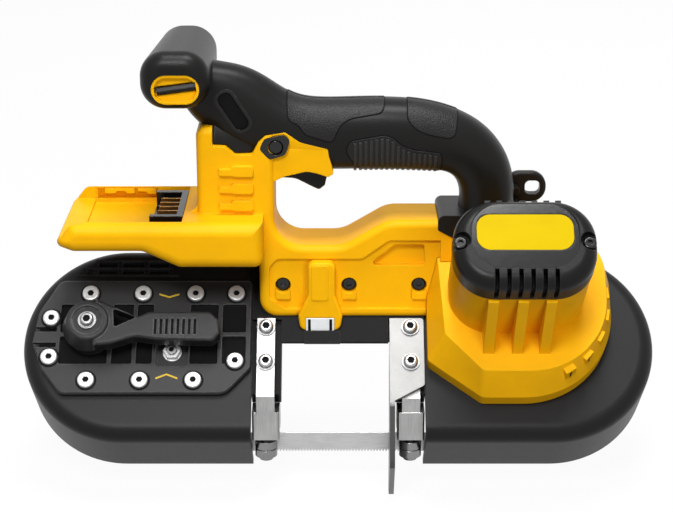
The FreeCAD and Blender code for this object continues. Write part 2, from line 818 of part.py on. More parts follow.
def placed(shape, places, level):
    """Copies of a shape at (x, u) places on one level."""
    copies = []
    for x, u in places:
        copy = shape.copy()
        copy.translate(FreeCAD.Vector(x, u, level))
        copies.append(copy)
    return Part.makeCompound(copies)


def plate_screws():
    """Screws that hold the tension plate to the guard."""
    length = float(size.plate_thickness) + float(size.guard_front)
    screw = socket_screw(float(size.screw_head_radius), float(size.screw_head_height),
                         float(size.screw_shank_radius), length, 3.5, float(size.socket_depth))
    feature("plate_screws", placed(screw, plate_screw_places(), plate_level()), wheel_frame)


def lever_crown():
    """Top of the lever's hub."""
    return float(size.lever_base) + float(size.lever_thickness) + 2.0


def tension_lever():
    """Cranked lever with a round hub, a triangular window and a grooved grip."""
    base = float(size.lever_base)
    top = base + float(size.lever_thickness)
    x = float(size.lever_pivot_x)
    u = float(size.lever_pivot_u)
    hub_radius = float(size.lever_hub_radius)
    crown = lever_crown()
    hub = Part.makeCone(hub_radius, float(size.lever_hub_top), crown - base, FreeCAD.Vector(x, u, base))
    hub = hub.makeFillet(1.5, flat_edges(hub, 2, crown))
    dish = rod(size.lever_dish_radius, FreeCAD.Vector(x, u, crown - float(size.lever_dish_depth)),
               FreeCAD.Vector(x, u, FAR))
    tip = x + float(size.lever_length)
    grip = float(size.lever_grip_width) / 2
    grip_u = u - 3.0
    corners = [
        (x + 4.0, u + hub_radius - 0.5, 0), (x + 4.0, u - hub_radius + 0.5, 0),
        (x + 14.0, u - hub_radius + 1.5, 6.0),
        (x + 28.0, grip_u - grip + 3.0, 14.0), (x + 40.0, grip_u - grip + 1.0, 10.0),
        (tip - 4.0, grip_u - grip, 4.0), (tip, grip_u - grip + 5.0, 3.0),
        (tip - 1.0, grip_u + grip - 5.0, 3.0),
        (tip - 6.0, grip_u + grip, 4.0), (x + 36.0, grip_u + grip, 6.0),
        (x + 29.0, grip_u + grip - 3.5, 6.0),
    ]
    arm = prism(corners, flat(base), Z_AXIS * (top - base))
    arm = arm.makeFillet(1.6, flat_edges(arm, 2, top))
    window = prism([(x + 14.6, u + 8.0, 1.2), (x + 29.5, u + 2.8, 1.2), (x + 15.6, u - 4.0, 1.2)],
                   flat(base - 1.0),
                   Z_AXIS * FAR)
    grooves = [block((groove, grip_u - 5.5, top - 1.4), (groove + 1.6, grip_u + 4.5, FAR))
               for groove in [x + 39.0 + 3.3 * i for i in range(8)]]
    bore = rod(float(size.cam_shaft_radius) - 2.0, FreeCAD.Vector(x, u, 0), FreeCAD.Vector(x, u, FAR))
    lever = hub.fuse(arm).removeSplitter().cut([window, bore, dish] + grooves)
    feature("tension_lever", lever, wheel_frame)


def lever_cam():
    """Cam shaft under the lever, its eccentric running in the carriage's slot."""
    x = float(size.lever_pivot_x)
    u = float(size.lever_pivot_u)
    radius = float(size.cam_shaft_radius)
    low = float(carriage_low()) + 0.5
    inner = float(size.guard_face) - float(size.guard_front) - float(size.slide_gap)
    top = float(size.lever_base)
    shaft = rod(radius, FreeCAD.Vector(x, u, inner), FreeCAD.Vector(x, u, top))
    neck_top = lever_crown() - float(size.lever_dish_depth)
    neck = rod(radius - 2.0, FreeCAD.Vector(x, u, top), FreeCAD.Vector(x, u, neck_top))
    throw = x - float(size.cam_throw)
    disc = rod(size.cam_radius, FreeCAD.Vector(throw, u, low), FreeCAD.Vector(throw, u, inner))
    feature("lever_cam", shaft.fuse([neck, disc]).removeSplitter(), wheel_frame)


def lever_bolt():
    """Washer and socket bolt on the lever's hub."""
    level = lever_crown() - float(size.lever_dish_depth)
    height = float(size.lever_washer_height)
    washer = Part.makeCylinder(float(size.lever_washer_radius), height)
    head = socket_screw(float(size.lever_bolt_radius), float(size.lever_bolt_height),
                        float(size.screw_shank_radius), height, 4.0, float(size.socket_depth))
    head.translate(Z_AXIS * height)
    bolt = washer.fuse(head).removeSplitter()
    place = [(float(size.lever_pivot_x), float(size.lever_pivot_u))]
    feature("lever_bolt", placed(bolt, place, level), wheel_frame)


def carriage_right():
    """Right end of the tension carriage at rest."""
    return -half_spacing + float(size.carriage_length) * 0.42


def tension_carriage():
    """Sliding block that carries the idler axle, slotted for the cam."""
    low = float(carriage_low())
    top = low + float(size.carriage_thickness)
    half_height = float(size.carriage_height) / 2
    right = carriage_right()
    left = right - float(size.carriage_length)
    body = block((left, -half_height, low), (right, half_height, top))
    slot_x = float(size.lever_pivot_x) - float(size.cam_throw)
    half_slot = float(size.cam_radius) + float(size.cam_gap)
    half_run = float(size.cam_radius) + float(size.cam_throw) + 1.0
    pivot_u = float(size.lever_pivot_u)
    slot = block((slot_x - half_slot, pivot_u - half_run, low - 1.0),
                 (slot_x + half_slot, pivot_u + half_run, FAR))
    body = body.makeChamfer(2.0, [e for e in body.Edges if e.Length - float(size.carriage_thickness) < 1e-3])
    feature("tension_carriage", body.cut(slot), wheel_frame)


def helix_spring(label, radius, wire, length, turns, placement):
    """Coil spring on the X axis, its path quarter turn arcs."""
    quarter = 4
    count = int(turns) * quarter
    mean = radius - wire / 2
    inset = wire / 2

    def place(step):
        turn = 2 * math.pi * step / quarter
        x = inset + (length - 2 * inset) * step / count
        return FreeCAD.Vector(x, mean * math.cos(turn), mean * math.sin(turn))

    edges = [Part.Arc(place(i), place(i + 0.5), place(i + 1)).toShape() for i in range(count)]
    path = Part.Wire(edges)
    start = place(0)
    section = Part.Wire(Part.Circle(start, edges[0].tangentAt(edges[0].FirstParameter), wire / 2).toShape())
    coil = path.makePipeShell([section], True, False)
    pitch = (length - 2 * inset) / int(turns)
    print("%s: least gap between turns %.2f mm" % (label, pitch - wire))
    feature(label, coil, placement)


def tension_spring():
    """Spring that pushes the carriage outwards."""
    left = carriage_right()
    length = float(size.cam_throw) * 2 + 16.0
    level = float(carriage_low()) + float(size.carriage_thickness) / 2
    helix_spring("tension_spring", float(size.spring_radius), float(size.spring_wire), length - 0.4,
                 float(size.spring_turns), at(left + 0.2, 0, level - 3.0, wheel_frame))


def tracking_set():
    """Tracking screw and its lock nut on the tension plate."""
    x = float(size.tracking_x)
    u = float(size.tracking_u)
    floor = plate_level() - float(size.plate_recess)
    height = float(size.tracking_nut_height)
    radius = float(size.tracking_screw_radius)
    nut = hexagon(float(size.tracking_nut_flat), 0.0, height)
    rim = rod(float(size.tracking_nut_rim), FreeCAD.Vector(0, 0, 0), FreeCAD.Vector(0, 0, 1.2))
    nut = nut.fuse(rim).removeSplitter()
    nut = nut.cut(rod(radius + float(size.running_gap), FreeCAD.Vector(0, 0, -1.0),
                      FreeCAD.Vector(0, 0, FAR)))
    feature("tracking_nut", nut, at(x, u, floor, wheel_frame))
    low = float(size.guard_face) - float(size.guard_front) + 0.3
    top = floor + height + 2.0
    screw = rod(radius, FreeCAD.Vector(0, 0, low), FreeCAD.Vector(0, 0, top))
    screw = screw.cut(hexagon(3.0, top - 2.5, FAR))
    feature("tracking_screw", screw, at(x, u, 0, wheel_frame))


# Motor and gears

FIN_PLACES = (83.2, 99.8, 115.5)
VENT_COUNT = 6
VENT_START = -58.0
VENT_STEP = 16.0


def relay_centre():
    """Relay shaft, in mesh with both the motor pinion and the drive gear."""
    module = float(size.gear_module)
    first = module * (float(size.pinion_teeth) + float(size.reduction_teeth)) / 2
    second = module * (float(size.relay_teeth) + float(size.drive_teeth)) / 2
    motor = motor_centre()
    drive = FreeCAD.Vector(half_spacing, 0, 0)
    base = drive - motor
    along = (first ** 2 - second ** 2 + base.Length ** 2) / (2 * base.Length)
    rise = math.sqrt(first ** 2 - along ** 2)
    forward = FreeCAD.Vector(base).normalize()
    upward = FreeCAD.Vector(-forward.y, forward.x, 0)
    return motor + forward * along + upward * rise


def motor_centre():
    """Motor axis in the wheel frame."""
    return FreeCAD.Vector(float(size.motor_x), float(size.motor_u), 0)


def gear_blank(teeth, bore, phase):
    """Straight gear outline: short slim teeth on the pitch circle, first tooth at the phase angle."""
    module = float(size.gear_module)
    pitch_radius = module * teeth / 2
    root = pitch_radius - 0.9 * module
    tip = pitch_radius + 0.6 * module
    step = 2 * math.pi / teeth
    points = []
    for i in range(int(teeth)):
        angle = phase + i * step
        for radius, share in ((root, -0.27), (tip, -0.13), (tip, 0.13), (root, 0.27)):
            turn = angle + share * step
            points.append(FreeCAD.Vector(radius * math.cos(turn), radius * math.sin(turn), 0))
    blank = Part.Face(Part.makePolygon(points + points[:1])).extrude(Z_AXIS * float(size.gear_width))
    if bore > 0:
        blank = blank.cut(Part.makeCylinder(bore, float(size.gear_width)))
    return blank


def heading(start, end):
    """Direction from one gear centre to another."""
    return math.atan2(end.y - start.y, end.x - start.x)


def drive_level():
    """Level of the drive gear and the relay pinion."""
    return float(size.guard_face) + 2.0


def pinion_level():
    """Level of the motor pinion and the reduction gear."""
    return drive_level() + float(size.gear_width) + 2.0


def gear_train():
    """Two stage gearing: motor pinion, reduction gear with relay pinion, drive gear."""
    width = float(size.gear_width)
    motor = motor_centre()
    relay = relay_centre()
    drive = FreeCAD.Vector(half_spacing, 0, 0)
    drive_teeth = float(size.drive_teeth)
    drive_phase = heading(drive, relay) + math.pi / drive_teeth
    gear = gear_blank(drive_teeth, float(size.drive_shaft_radius), drive_phase)
    feature("drive_gear", gear, at(drive.x, drive.y, drive_level(), wheel_frame))
    relay_pinion = gear_blank(float(size.relay_teeth), 0.0, heading(relay, drive))
    reduction_phase = heading(relay, motor) + math.pi / float(size.reduction_teeth)
    reduction = gear_blank(float(size.reduction_teeth), 0.0, reduction_phase)
    reduction.translate(Z_AXIS * (width + 2.0))
    neck = Part.makeCylinder(4.0, 2.0, Z_AXIS * width)
    shaft_low = float(size.guard_face) - 5.7 - drive_level()
    shaft_high = pinion_level() + width + 7.5 - drive_level()
    shaft = rod(size.relay_shaft_radius, Z_AXIS * shaft_low, Z_AXIS * shaft_high)
    relay_gear = relay_pinion.fuse([reduction, neck, shaft]).removeSplitter()
    feature("relay_gear", relay_gear, at(relay.x, relay.y, drive_level(), wheel_frame))


def gear_web():
    """Level where the gear space ends and the motor's front bearing sits."""
    return pinion_level() + float(size.gear_width) + 1.5


def motor_parts():
    """Stator, rotor with its pinion and fan, and the bearings of the train."""
    motor = motor_centre()
    axis = at(motor.x, motor.y, 0, wheel_frame)
    bearing_width = float(size.motor_bearing_width)
    web = gear_web()
    stator_low = web + bearing_width + 6.0
    stator_high = float(size.stator_top)
    shaft_radius = size.motor_shaft_radius
    inner = float(size.motor_radius) * 0.6
    turned_body("motor_stator", [(inner, stator_low), (size.motor_radius, stator_low),
                                 (size.motor_radius, stator_high), (inner, stator_high)], axis)
    core = inner - 0.6
    shaft_top = float(size.cap_front) - float(size.cap_wall) - 3.0
    low = pinion_level()
    rotor = rod(shaft_radius, Z_AXIS * low, Z_AXIS * shaft_top)
    body = rod(core, Z_AXIS * (stator_low + 2.0), Z_AXIS * (stator_high - 2.0))
    fan = rod(float(size.motor_radius) - 3.0, Z_AXIS * (stator_high + 2.0), Z_AXIS * (stator_high + 4.0))
    blades = []
    for i in range(8):
        blade = block((6.0, -0.7, stator_high + 4.0),
                      (float(size.motor_radius) - 4.0, 0.7, stator_high + 9.0))
        blade.rotate(FreeCAD.Vector(0, 0, 0), Z_AXIS, 45.0 * i)
        blades.append(blade)
    fan_hub = rod(7.0, Z_AXIS * (stator_high + 2.0), Z_AXIS * (stator_high + 9.0))
    pinion = gear_blank(float(size.pinion_teeth), 0.0, heading(motor, relay_centre()))
    pinion.translate(Z_AXIS * low)
    feature("motor_rotor", rotor.fuse([body, pinion]).removeSplitter(), axis)
    bore = rod(shaft_radius, Z_AXIS * low, Z_AXIS * FAR)
    feature("motor_fan", fan.fuse([fan_hub] + blades).removeSplitter().cut(bore), axis)
    bearings = []
    gap = float(size.running_gap)
    for level in (web, shaft_top - bearing_width):
        outer = rod(size.motor_bearing_radius, Z_AXIS * level, Z_AXIS * (level + bearing_width))
        bearings.append(outer.cut(rod(float(shaft_radius) + gap, Z_AXIS * (level - 1.0), Z_AXIS * FAR)))
    feature("motor_bearings", Part.makeCompound(bearings), axis)
    rings = []
    width = float(size.drive_bearing_width)
    for level in (13.5, 13.5 + width):
        outer = rod(size.drive_bearing_radius, Z_AXIS * level, Z_AXIS * (level + width - 0.1))
        rings.append(outer.cut(rod(float(size.drive_shaft_radius) + gap, Z_AXIS * (level - 1.0),
                                   Z_AXIS * FAR)))
    feature("drive_bearings", Part.makeCompound(rings), at(half_spacing, 0, 0, wheel_frame))


def drum_centre():
    """Middle of the round gear drum behind the motor, in the wheel frame."""
    return FreeCAD.Vector(float(size.motor_x) + 2.0, float(size.motor_u) - 4.0, 0)


def drum_top():
    """Level of the gear drum's outer face."""
    return float(size.guard_face) + float(size.motor_flange_height) + float(size.drum_height)


def motor_form(grow):
    """Motor housing's outer form, grown by a clearance: flange, drafted drum, barrel and fins."""
    face = float(size.guard_face) - grow
    radius = float(size.motor_flange_radius) + grow
    right = drum_centre().x + radius
    low = drum_centre().y - radius
    top = float(size.wheel_radius) + 7.0 + grow
    left = float(size.guard_end) + 1.5 - grow
    draft = float(size.drum_draft)
    step = float(size.guard_face) + float(size.motor_flange_height) + grow
    high = drum_top() + grow
    bend = left + float(size.drum_bend)
    drop = -float(size.drum_drop) - grow
    foot = [
        (left, top, 3.0), (left, drop, 4.0), (bend, low, 6.0),
        (right, low, radius * 0.98), (right, top, 30.0),
    ]
    crown = [
        (left + draft / 2, top, 3.0), (left + draft, drop + draft, 4.0), (bend, low + draft, 6.0),
        (right - draft / 2, low + draft, radius * 0.84), (right - draft / 2, top, 28.0),
    ]
    flange = prism(foot, flat(face), Z_AXIS * (step - face))
    drum = Part.makeLoft([outline(foot, flat(step)), outline(crown, flat(high))], True, True)
    width = float(size.cap_width) - 1.0 + 2 * grow
    depth = float(size.cap_height) - 1.0 + 2 * grow
    end = float(size.motor_top) + grow
    barrel = prism(rectangle(*cap_middle(), width, depth, float(size.cap_corner)), flat(face),
                   Z_AXIS * (end - face))
    under = cap_middle()[1] - depth / 2
    gusset = [(under + 3.0, high - 2.0, 0), (under - float(size.fin_foot), high - 2.0, 0),
              (under - 2.0, end - 1.0, 0),
              (under + 3.0, end - 1.0, 0)]
    fins = [prism(gusset, across(x), X_AXIS * float(size.fin_width)) for x in FIN_PLACES]
    return flange.fuse([drum, barrel] + fins).removeSplitter()


def motor_housing():
    """Yellow housing of the gears and motor with a broad flange, three fins and slotted vent tabs."""
    form = motor_form(0.0)
    motor = motor_centre()
    relay = relay_centre()
    drive = FreeCAD.Vector(half_spacing, 0, 0)
    module = float(size.gear_module)
    face = float(size.guard_face)
    web = gear_web()
    top = float(size.motor_top)
    drive_reach = module * (float(size.drive_teeth) / 2 + 1.6)
    reduction_reach = module * (float(size.reduction_teeth) / 2 + 1.6)
    spaces = [
        rod(drive_reach, drive + Z_AXIS * (face - 1.0), drive + Z_AXIS * (pinion_level() - 0.5)),
        rod(reduction_reach, relay + Z_AXIS * (face - 1.0), relay + Z_AXIS * web),
        rod(module * 8.0, motor + Z_AXIS * (face - 1.0), motor + Z_AXIS * web),
        rod(size.motor_bearing_radius, motor + Z_AXIS * (web - 1.0), motor + Z_AXIS * (web + 6.0)),
        rod(float(size.motor_shaft_radius) + 1.5, motor, motor + Z_AXIS * FAR),
        rod(float(size.motor_radius), motor + Z_AXIS * (web + 10.0), motor + Z_AXIS * (top + 1.0)),
        rod(float(size.relay_shaft_radius) + float(size.running_gap), relay, relay + Z_AXIS * (web + 7.0)),
    ]
    screw_u = cap_screw_u()
    for x in cap_screw_xs():
        spaces.append(rod(float(size.screw_shank_radius) + 0.1, FreeCAD.Vector(x, screw_u, top - 10.0),
                          FreeCAD.Vector(x, screw_u, top + 1.0)))
    reach = float(size.motor_flange_radius)
    half = float(size.vent_tab) / 2
    tabs = []
    for i in range(VENT_COUNT):
        tab = block((reach - 12.0, -half, drum_top() - 15.0), (reach - 2.6, half, drum_top() - 3.0))
        slot = block((reach - 8.0, -0.9, drum_top() - 12.5), (reach, 0.9, drum_top() - 5.0))
        for piece, group in ((tab, tabs), (slot, spaces)):
            piece.rotate(FreeCAD.Vector(0, 0, 0), Z_AXIS, VENT_START + VENT_STEP * i)
            piece.translate(drum_centre())
            group.append(piece)
    feature("motor_housing", form.fuse(tabs).removeSplitter().cut(spaces), wheel_frame)


def cap_middle():
    """Middle of the motor cap in the wheel frame."""
    return float(size.motor_x) - 1.0, float(size.motor_u) + 1.2


def motor_cap():
    """Black end cap with a rounded rim, air slots, a label recess and a bearing boss."""
    low = float(size.motor_top)
    high = float(size.cap_front)
    a, b = cap_middle()
    width = float(size.cap_width)
    height = float(size.cap_height)
    corner = float(size.cap_corner)
    wall = float(size.cap_wall)
    cap = prism(rectangle(a, b, width, height, corner), flat(low), Z_AXIS * (high - low))
    cap = cap.makeFillet(float(size.cap_round), flat_edges(cap, 2, high))
    hollow = prism(rectangle(a, b, width - 4 * wall, height - 4 * wall, corner - 2 * wall), flat(low - 1.0),
                   Z_AXIS * (high - low + 1.0 - 2 * wall))
    ring_wide = prism(rectangle(a, b + 3.6, width - 20.0, height - 14.5, 17.0), flat(high - 1.2),
                      Z_AXIS * FAR)
    label_u = b + 6.2
    recess = prism(rectangle(a, label_u, float(size.label_width), float(size.label_height), 8.0),
                   flat(high - 1.2 - float(size.label_thickness)), Z_AXIS * FAR)
    motor = motor_centre()
    boss_low = float(size.cap_front) - wall - 3.0 - float(size.motor_bearing_width)
    boss = rod(float(size.motor_bearing_radius) + 2.5, motor + Z_AXIS * boss_low,
               motor + Z_AXIS * (high - 3.0))
    seat = rod(size.motor_bearing_radius, motor + Z_AXIS * (boss_low - 1.0),
               motor + Z_AXIS * (high - 3.0 - wall))
    slots = []
    for i in range(6):
        x = a + 6.6 * (i - 2.5)
        slots.append(block((x - 1.2, b - FAR, high - 16.0), (x + 1.2, b - height / 2 + 10.5, FAR)))
        slots.append(block((x - 1.6, b + height / 2 - 7.0, high - 15.0), (x + 1.6, b + FAR, high - 9.0)))
    cap = cap.cut([hollow, ring_wide, recess]).fuse(boss).removeSplitter().cut([seat] + slots)
    screw_u = cap_screw_u()
    ears = [rod(5.5, FreeCAD.Vector(x, screw_u, high - float(size.cap_screw_seat)),
                FreeCAD.Vector(x, screw_u, FAR)) for x in cap_screw_xs()]
    holes = [rod(float(size.screw_shank_radius) + 0.1, FreeCAD.Vector(x, screw_u, low - 1.0),
                 FreeCAD.Vector(x, screw_u, FAR)) for x in cap_screw_xs()]
    feature("motor_cap", cap.cut(ears + holes), wheel_frame)
    plate = prism(rectangle(a, label_u, float(size.label_width) - 0.2, float(size.label_height) - 0.2, 7.9),
                  flat(high - 1.2 - float(size.label_thickness)), Z_AXIS * float(size.label_thickness))
    feature("cap_plate", plate, wheel_frame)
    screw = socket_screw(float(size.cap_screw_radius), float(size.cap_screw_height),
                         float(size.screw_shank_radius), float(size.cap_screw_length),
                         float(size.small_socket), float(size.socket_depth))
    places = [(x, screw_u) for x in cap_screw_xs()]
    feature("cap_screws", placed(screw, places, high - float(size.cap_screw_seat)), wheel_frame)


def cap_screw_xs():
    """Places of the two cap screws along the saw."""
    a = cap_middle()[0]
    reach = float(size.cap_width) / 2 - 4.2
    return a - reach, a + reach


def cap_screw_u():
    """Level of the two cap screws across the wheel plane."""
    return cap_middle()[1] + 0.8


# Handle and housing

HANDLE_STATIONS = (
    (-116.0, 219.0, -30.0, 13.0, 0.75), (-101.0, 209.5, -37.0, 20.0, 0.84),
    (-80.0, 196.5, -33.0, 22.5, 0.92),
    (-56.0, 186.3, -12.0, 21.0, 1.0), (-30.0, 184.4, 0.0, 21.0, 1.0), (0.0, 184.8, -2.0, 21.0, 1.0),
    (25.0, 182.6, -12.0, 19.8, 1.0), (44.0, 175.6, -38.0, 17.5, 1.0), (55.0, 161.5, -70.0, 16.4, 1.0),
    (57.3, 145.0, -90.0, 16.0, 1.0), (57.3, 120.0, -90.0, 16.0, 1.0),
)
SECTION_POINTS = 12
SECTION_POWER = 0.88
COLOUR_LINE = (
    (-160.0, 260.0, 0), (-160.0, 192.2, 0), (-102.6, 192.2, 0), (-102.6, 181.5, 1.0), (-95.2, 181.0, 2.0),
    (-89.5, 176.3, 2.0), (-79.7, 176.3, 2.0), (-76.1, 183.5, 2.0), (-72.1, 187.3, 2.0), (-60.6, 189.5, 2.0),
    (-52.0, 183.5, 3.0), (-36.0, 179.3, 1.0), (-35.4, 175.0, 1.0), (-33.2, 167.0, 1.0), (-31.5, 160.0, 0),
    (-31.5, 150.0, 0), (28.2, 150.0, 0), (28.2, 131.0, 1.0), (39.0, 125.0, 1.0), (140.0, 125.0, 0),
    (140.0, 260.0, 0),
)
BODY_OUTLINE = (
    (-112.0, 118.0, 0), (-112.0, 192.2, 5.0), (-67.2, 192.2, 0), (-67.2, 120.5, 17.0), (-27.5, 120.5, 20.0),
    (-1.0, 136.2, 20.0), (72.0, 136.2, 0), (72.0, 75.9, 0), (-76.5, 75.9, 11.0), (-76.5, 118.0, 0),
)
TRAY_OUTLINE = (
    (-194.0, 128.0, 3.0), (-184.0, 141.0, 6.0), (-73.5, 141.0, 0), (-73.5, 114.0, 5.0), (-122.0, 114.0, 8.0),
    (-143.0, 123.7, 8.0), (-183.0, 123.7, 6.0),
)
COVE_OUTLINE = (
    (-119.0, 139.5, 0), (-119.0, 141.0, 0), (-112.0, 141.0, 6.0), (-112.0, 148.0, 0), (-110.5, 148.0, 0),
    (-110.5, 139.5, 0),
)
FIELD_OUTLINE = (
    (-70.7, 107.4, 4.0), (-66.5, 113.1, 5.0), (-16.0, 113.1, 4.0), (-0.3, 124.5, 4.0), (30.0, 124.5, 0),
    (30.0, 81.6, 0), (-61.5, 81.6, 4.0), (-70.7, 88.0, 4.0),
)
HOOD_OUTLINE = (
    (-68.0, 179.0, 0), (-68.0, 159.6, 0), (-60.8, 163.0, 4.0), (-48.2, 166.0, 8.0), (-41.7, 164.6, 5.0),
    (-35.8, 162.4, 2.0), (-32.6, 164.6, 1.5), (-36.2, 179.0, 0),
)
BULGE_OUTLINE = (
    (-47.8, 112.5, 4.0), (-47.8, 92.0, 6.0), (-53.6, 79.0, 4.0), (-52.4, 70.2, 4.0), (-29.0, 70.2, 4.0),
    (-27.4, 79.0, 4.0), (-31.8, 92.0, 6.0), (-31.8, 112.5, 4.0),
)
WINDOW_OUTLINE = ((-13.0, 108.3, 2.0), (3.3, 121.5, 2.0), (20.5, 121.5, 2.0), (21.2, 108.3, 2.0))
RIB_LEVELS = (143.5, 153.8, 164.1)
TERMINAL_COUNT = 5
HOUSING_SCREWS = ((-62.6, 96.1), (-23.6, 96.1), (17.7, 96.1))


def handle_form():
    """Grip lofted through rounded sections from the front knob to the rear post."""
    wires = []
    for x, z, angle, half_height, share in HANDLE_STATIONS:
        turn = math.radians(angle)
        upward = FreeCAD.Vector(-math.sin(turn), 0, math.cos(turn))
        half_width = float(size.grip_half) * share
        centre = FreeCAD.Vector(x, handle_y, z)
        points = []
        for i in range(SECTION_POINTS):
            angle = 2 * math.pi * i / SECTION_POINTS
            rise = math.copysign(abs(math.cos(angle)) ** SECTION_POWER, math.cos(angle))
            reach = math.copysign(abs(math.sin(angle)) ** SECTION_POWER, math.sin(angle))
            points.append(centre + upward * (half_height * rise) + Y_AXIS * (half_width * reach))
        curve = Part.BSplineCurve()
        curve.interpolate(Points=points, PeriodicFlag=True, Parameters=list(range(SECTION_POINTS + 1)))
        wires.append(Part.Wire(curve.toShape()))
    return Part.makeLoft(wires, True, False)


def knob_form():
    """Cross bar of the front handle, narrower at its far end."""
    half = float(size.knob_half)
    taper = float(size.knob_taper)
    width = float(size.knob_width)
    ends = ((float(size.knob_x), width, handle_y - half),
            (float(size.knob_x) + taper / 2, width - taper, handle_y + half))
    corner = float(size.knob_corner)
    wires = [outline(rectangle(x, float(size.knob_z), wide, size.knob_height, corner), side(y))
             for x, wide, y in ends]
    knob = Part.makeLoft(wires, True, True)
    rims = flat_edges(knob, 1, handle_y - half) + flat_edges(knob, 1, handle_y + half)
    return knob.makeFillet(float(size.knob_round), rims)


def under_seat(grow):
    """Everything under the frame bar's front plane, to cut the housing's slanted foot."""
    seat = block((-FAR, -FAR, -FAR), (FAR, FAR, float(size.bar_face) + grow))
    seat.Placement = wheel_frame
    return seat


def tray_form():
    """Battery foot with a bay that opens upwards and to the left."""
    half = float(size.tray_half)
    front = handle_y - half
    tray = prism(TRAY_OUTLINE, side(front), Y_AXIS * 2 * half)
    corners = [e for e in tray.Edges if abs(e.CenterOfMass.x + 73.5) < 1e-3
               and abs(e.CenterOfMass.y - handle_y) > 1.0]
    tray = tray.makeFillet(7.0, [e for e in corners if e.BoundBox.ZMax - e.BoundBox.ZMin > 5.0])
    floor = float(size.bay_floor)
    top = float(size.tray_top)
    lip = float(size.rail_lip)
    wall = float(size.rail_wall)
    bay = block((-178.0, front + wall + lip, floor), (-120.0, handle_y + half - wall - lip, FAR))
    groove = block((-178.0, front + wall, floor + float(size.rail_step)),
                   (-120.0, handle_y + half - wall, top - float(size.rail_height)))
    mouth = block((-FAR, front + wall, floor + 1.5), (-177.0, handle_y + half - wall, FAR))
    return tray.cut([bay, groove, mouth])


def bulge_front():
    """Front face of the work light's bulge."""
    return handle_y - float(size.body_half) - float(size.bulge_stand)


def lens_corners():
    """Side outline of the work light's lens in the wheel frame, flush with the bulge."""
    low = size.bar_face + size.seat_gap
    high = low + size.lens_height
    lean = in_wheel_frame(0.0, bulge_front(), 0.0)
    step = lean.y - lean.z - float(size.seat_gap)
    return [(low + step, low), (low + step + size.lens_depth, low), (low + step + size.lens_depth, high),
            (high + step, high)]


def housing_solid():
    """Yellow housing before it is parted: column, lower bar, battery foot and trigger guard."""
    half = float(size.body_half)
    slab = prism(BODY_OUTLINE, side(handle_y - half), Y_AXIS * 2 * half)
    rims = flat_edges(slab, 1, handle_y - half) + flat_edges(slab, 1, handle_y + half)
    rounded = [e for e in rims if e.CenterOfMass.x > -111.0 and e.CenterOfMass.x < 60.0
               and e.CenterOfMass.z < 150.0]
    column = [e for e in rims if e.BoundBox.XMax < -105.0]
    slab = slab.makeFillet(float(size.body_round), [e for e in rounded if e.CenterOfMass.z > 76.0] + column)
    cove_half = half - float(size.body_round)
    cove = prism(COVE_OUTLINE, side(handle_y - cove_half), Y_AXIS * 2 * cove_half)
    bulge = prism(BULGE_OUTLINE, side(bulge_front()), Y_AXIS * 15.0)
    bulge = bulge.makeFillet(1.5, flat_edges(bulge, 1, bulge_front()))
    stand = float(size.light_panel_stand)
    panel = prism(rectangle(-40.8, 100.0, 9.8, 21.6, 1.5), side(bulge_front() - stand), Y_AXIS * 2 * stand)
    bulge = bulge.fuse(panel).removeSplitter()
    ribs = []
    stand = float(size.rib_stand)
    for z in RIB_LEVELS:
        for y in (handle_y - half - stand, handle_y + half - stand):
            height = float(size.rib_height)
            bar = prism(rectangle(-85.5, z + height / 2, 13.0, height, 2.0), side(y), Y_AXIS * 2 * stand)
            stub = prism(rectangle(-95.0, z + 0.4 * height, 8.0, 0.6 * height, 1.0), side(y),
                         Y_AXIS * 2 * stand)
            ribs.append(stub)
            ribs.append(bar)
    guard_zone = block((-90.0, -FAR, 148.0), (-20.0, FAR, 220.0))
    hood_half = float(size.grip_half) - 0.4
    hood = prism(HOOD_OUTLINE, side(handle_y - hood_half), Y_AXIS * 2 * hood_half)
    guard = handle_form().common(guard_zone).fuse(hood)
    solid = slab.fuse([tray_form(), cove, bulge, guard] + ribs).removeSplitter()
    zone = prism(COLOUR_LINE, side(-FAR), Y_AXIS * 2 * FAR)
    front = handle_y - half
    window = prism(WINDOW_OUTLINE, side(front - 1.0), Y_AXIS * (float(size.window_depth) + 1.0))
    return solid.cut([zone, under_seat(0.0), window, front_field(bulge)])


def front_field(bulge):
    """Shallow field in the housing's front, left standing round the work light and under each screw."""
    front = handle_y - float(size.body_half)
    depth = float(size.field_depth)
    field = prism(FIELD_OUTLINE, side(front - 1.0), Y_AXIS * (depth + 1.0))
    drop = float(size.screw_tab_drop)
    width = float(size.screw_tab_width)
    tabs = [prism(rectangle(x, z - drop / 2, width, drop, 1.0), side(front), Y_AXIS * depth)
            for x, z in HOUSING_SCREWS]
    return field.cut([bulge] + tabs)


def handle_base():
    """Black collar where the rear post stands on the housing."""
    half = float(size.body_half) + 0.5
    base = prism([(28.2, 140.0, 4.0), (28.2, 131.0, 1.0), (39.0, 125.0, 1.0), (79.0, 125.0, 0),
                  (79.0, 140.0, 4.0)],
                 side(handle_y - half), Y_AXIS * 2 * half)
    return base


def cavities():
    """Spaces for the pieces inside the housing and the handle."""
    trigger_half = float(size.trigger_width) / 2 + float(size.trigger_gap)
    gap = float(size.trigger_gap)
    return [
        block((-67.5, handle_y - trigger_half, 140.0), (-35.0 - gap, handle_y + trigger_half, 176.0)),
        block((-61.6, handle_y - 9.0, 170.0), (-40.0, handle_y + 9.0, 188.3)),
        block((-106.0, handle_y - 15.0, 118.0), (-74.0, handle_y + 15.0, 150.0)),
        block((-137.2, handle_y - 17.0, 126.0), (-111.0, handle_y + 17.0, 138.5)),
    ]


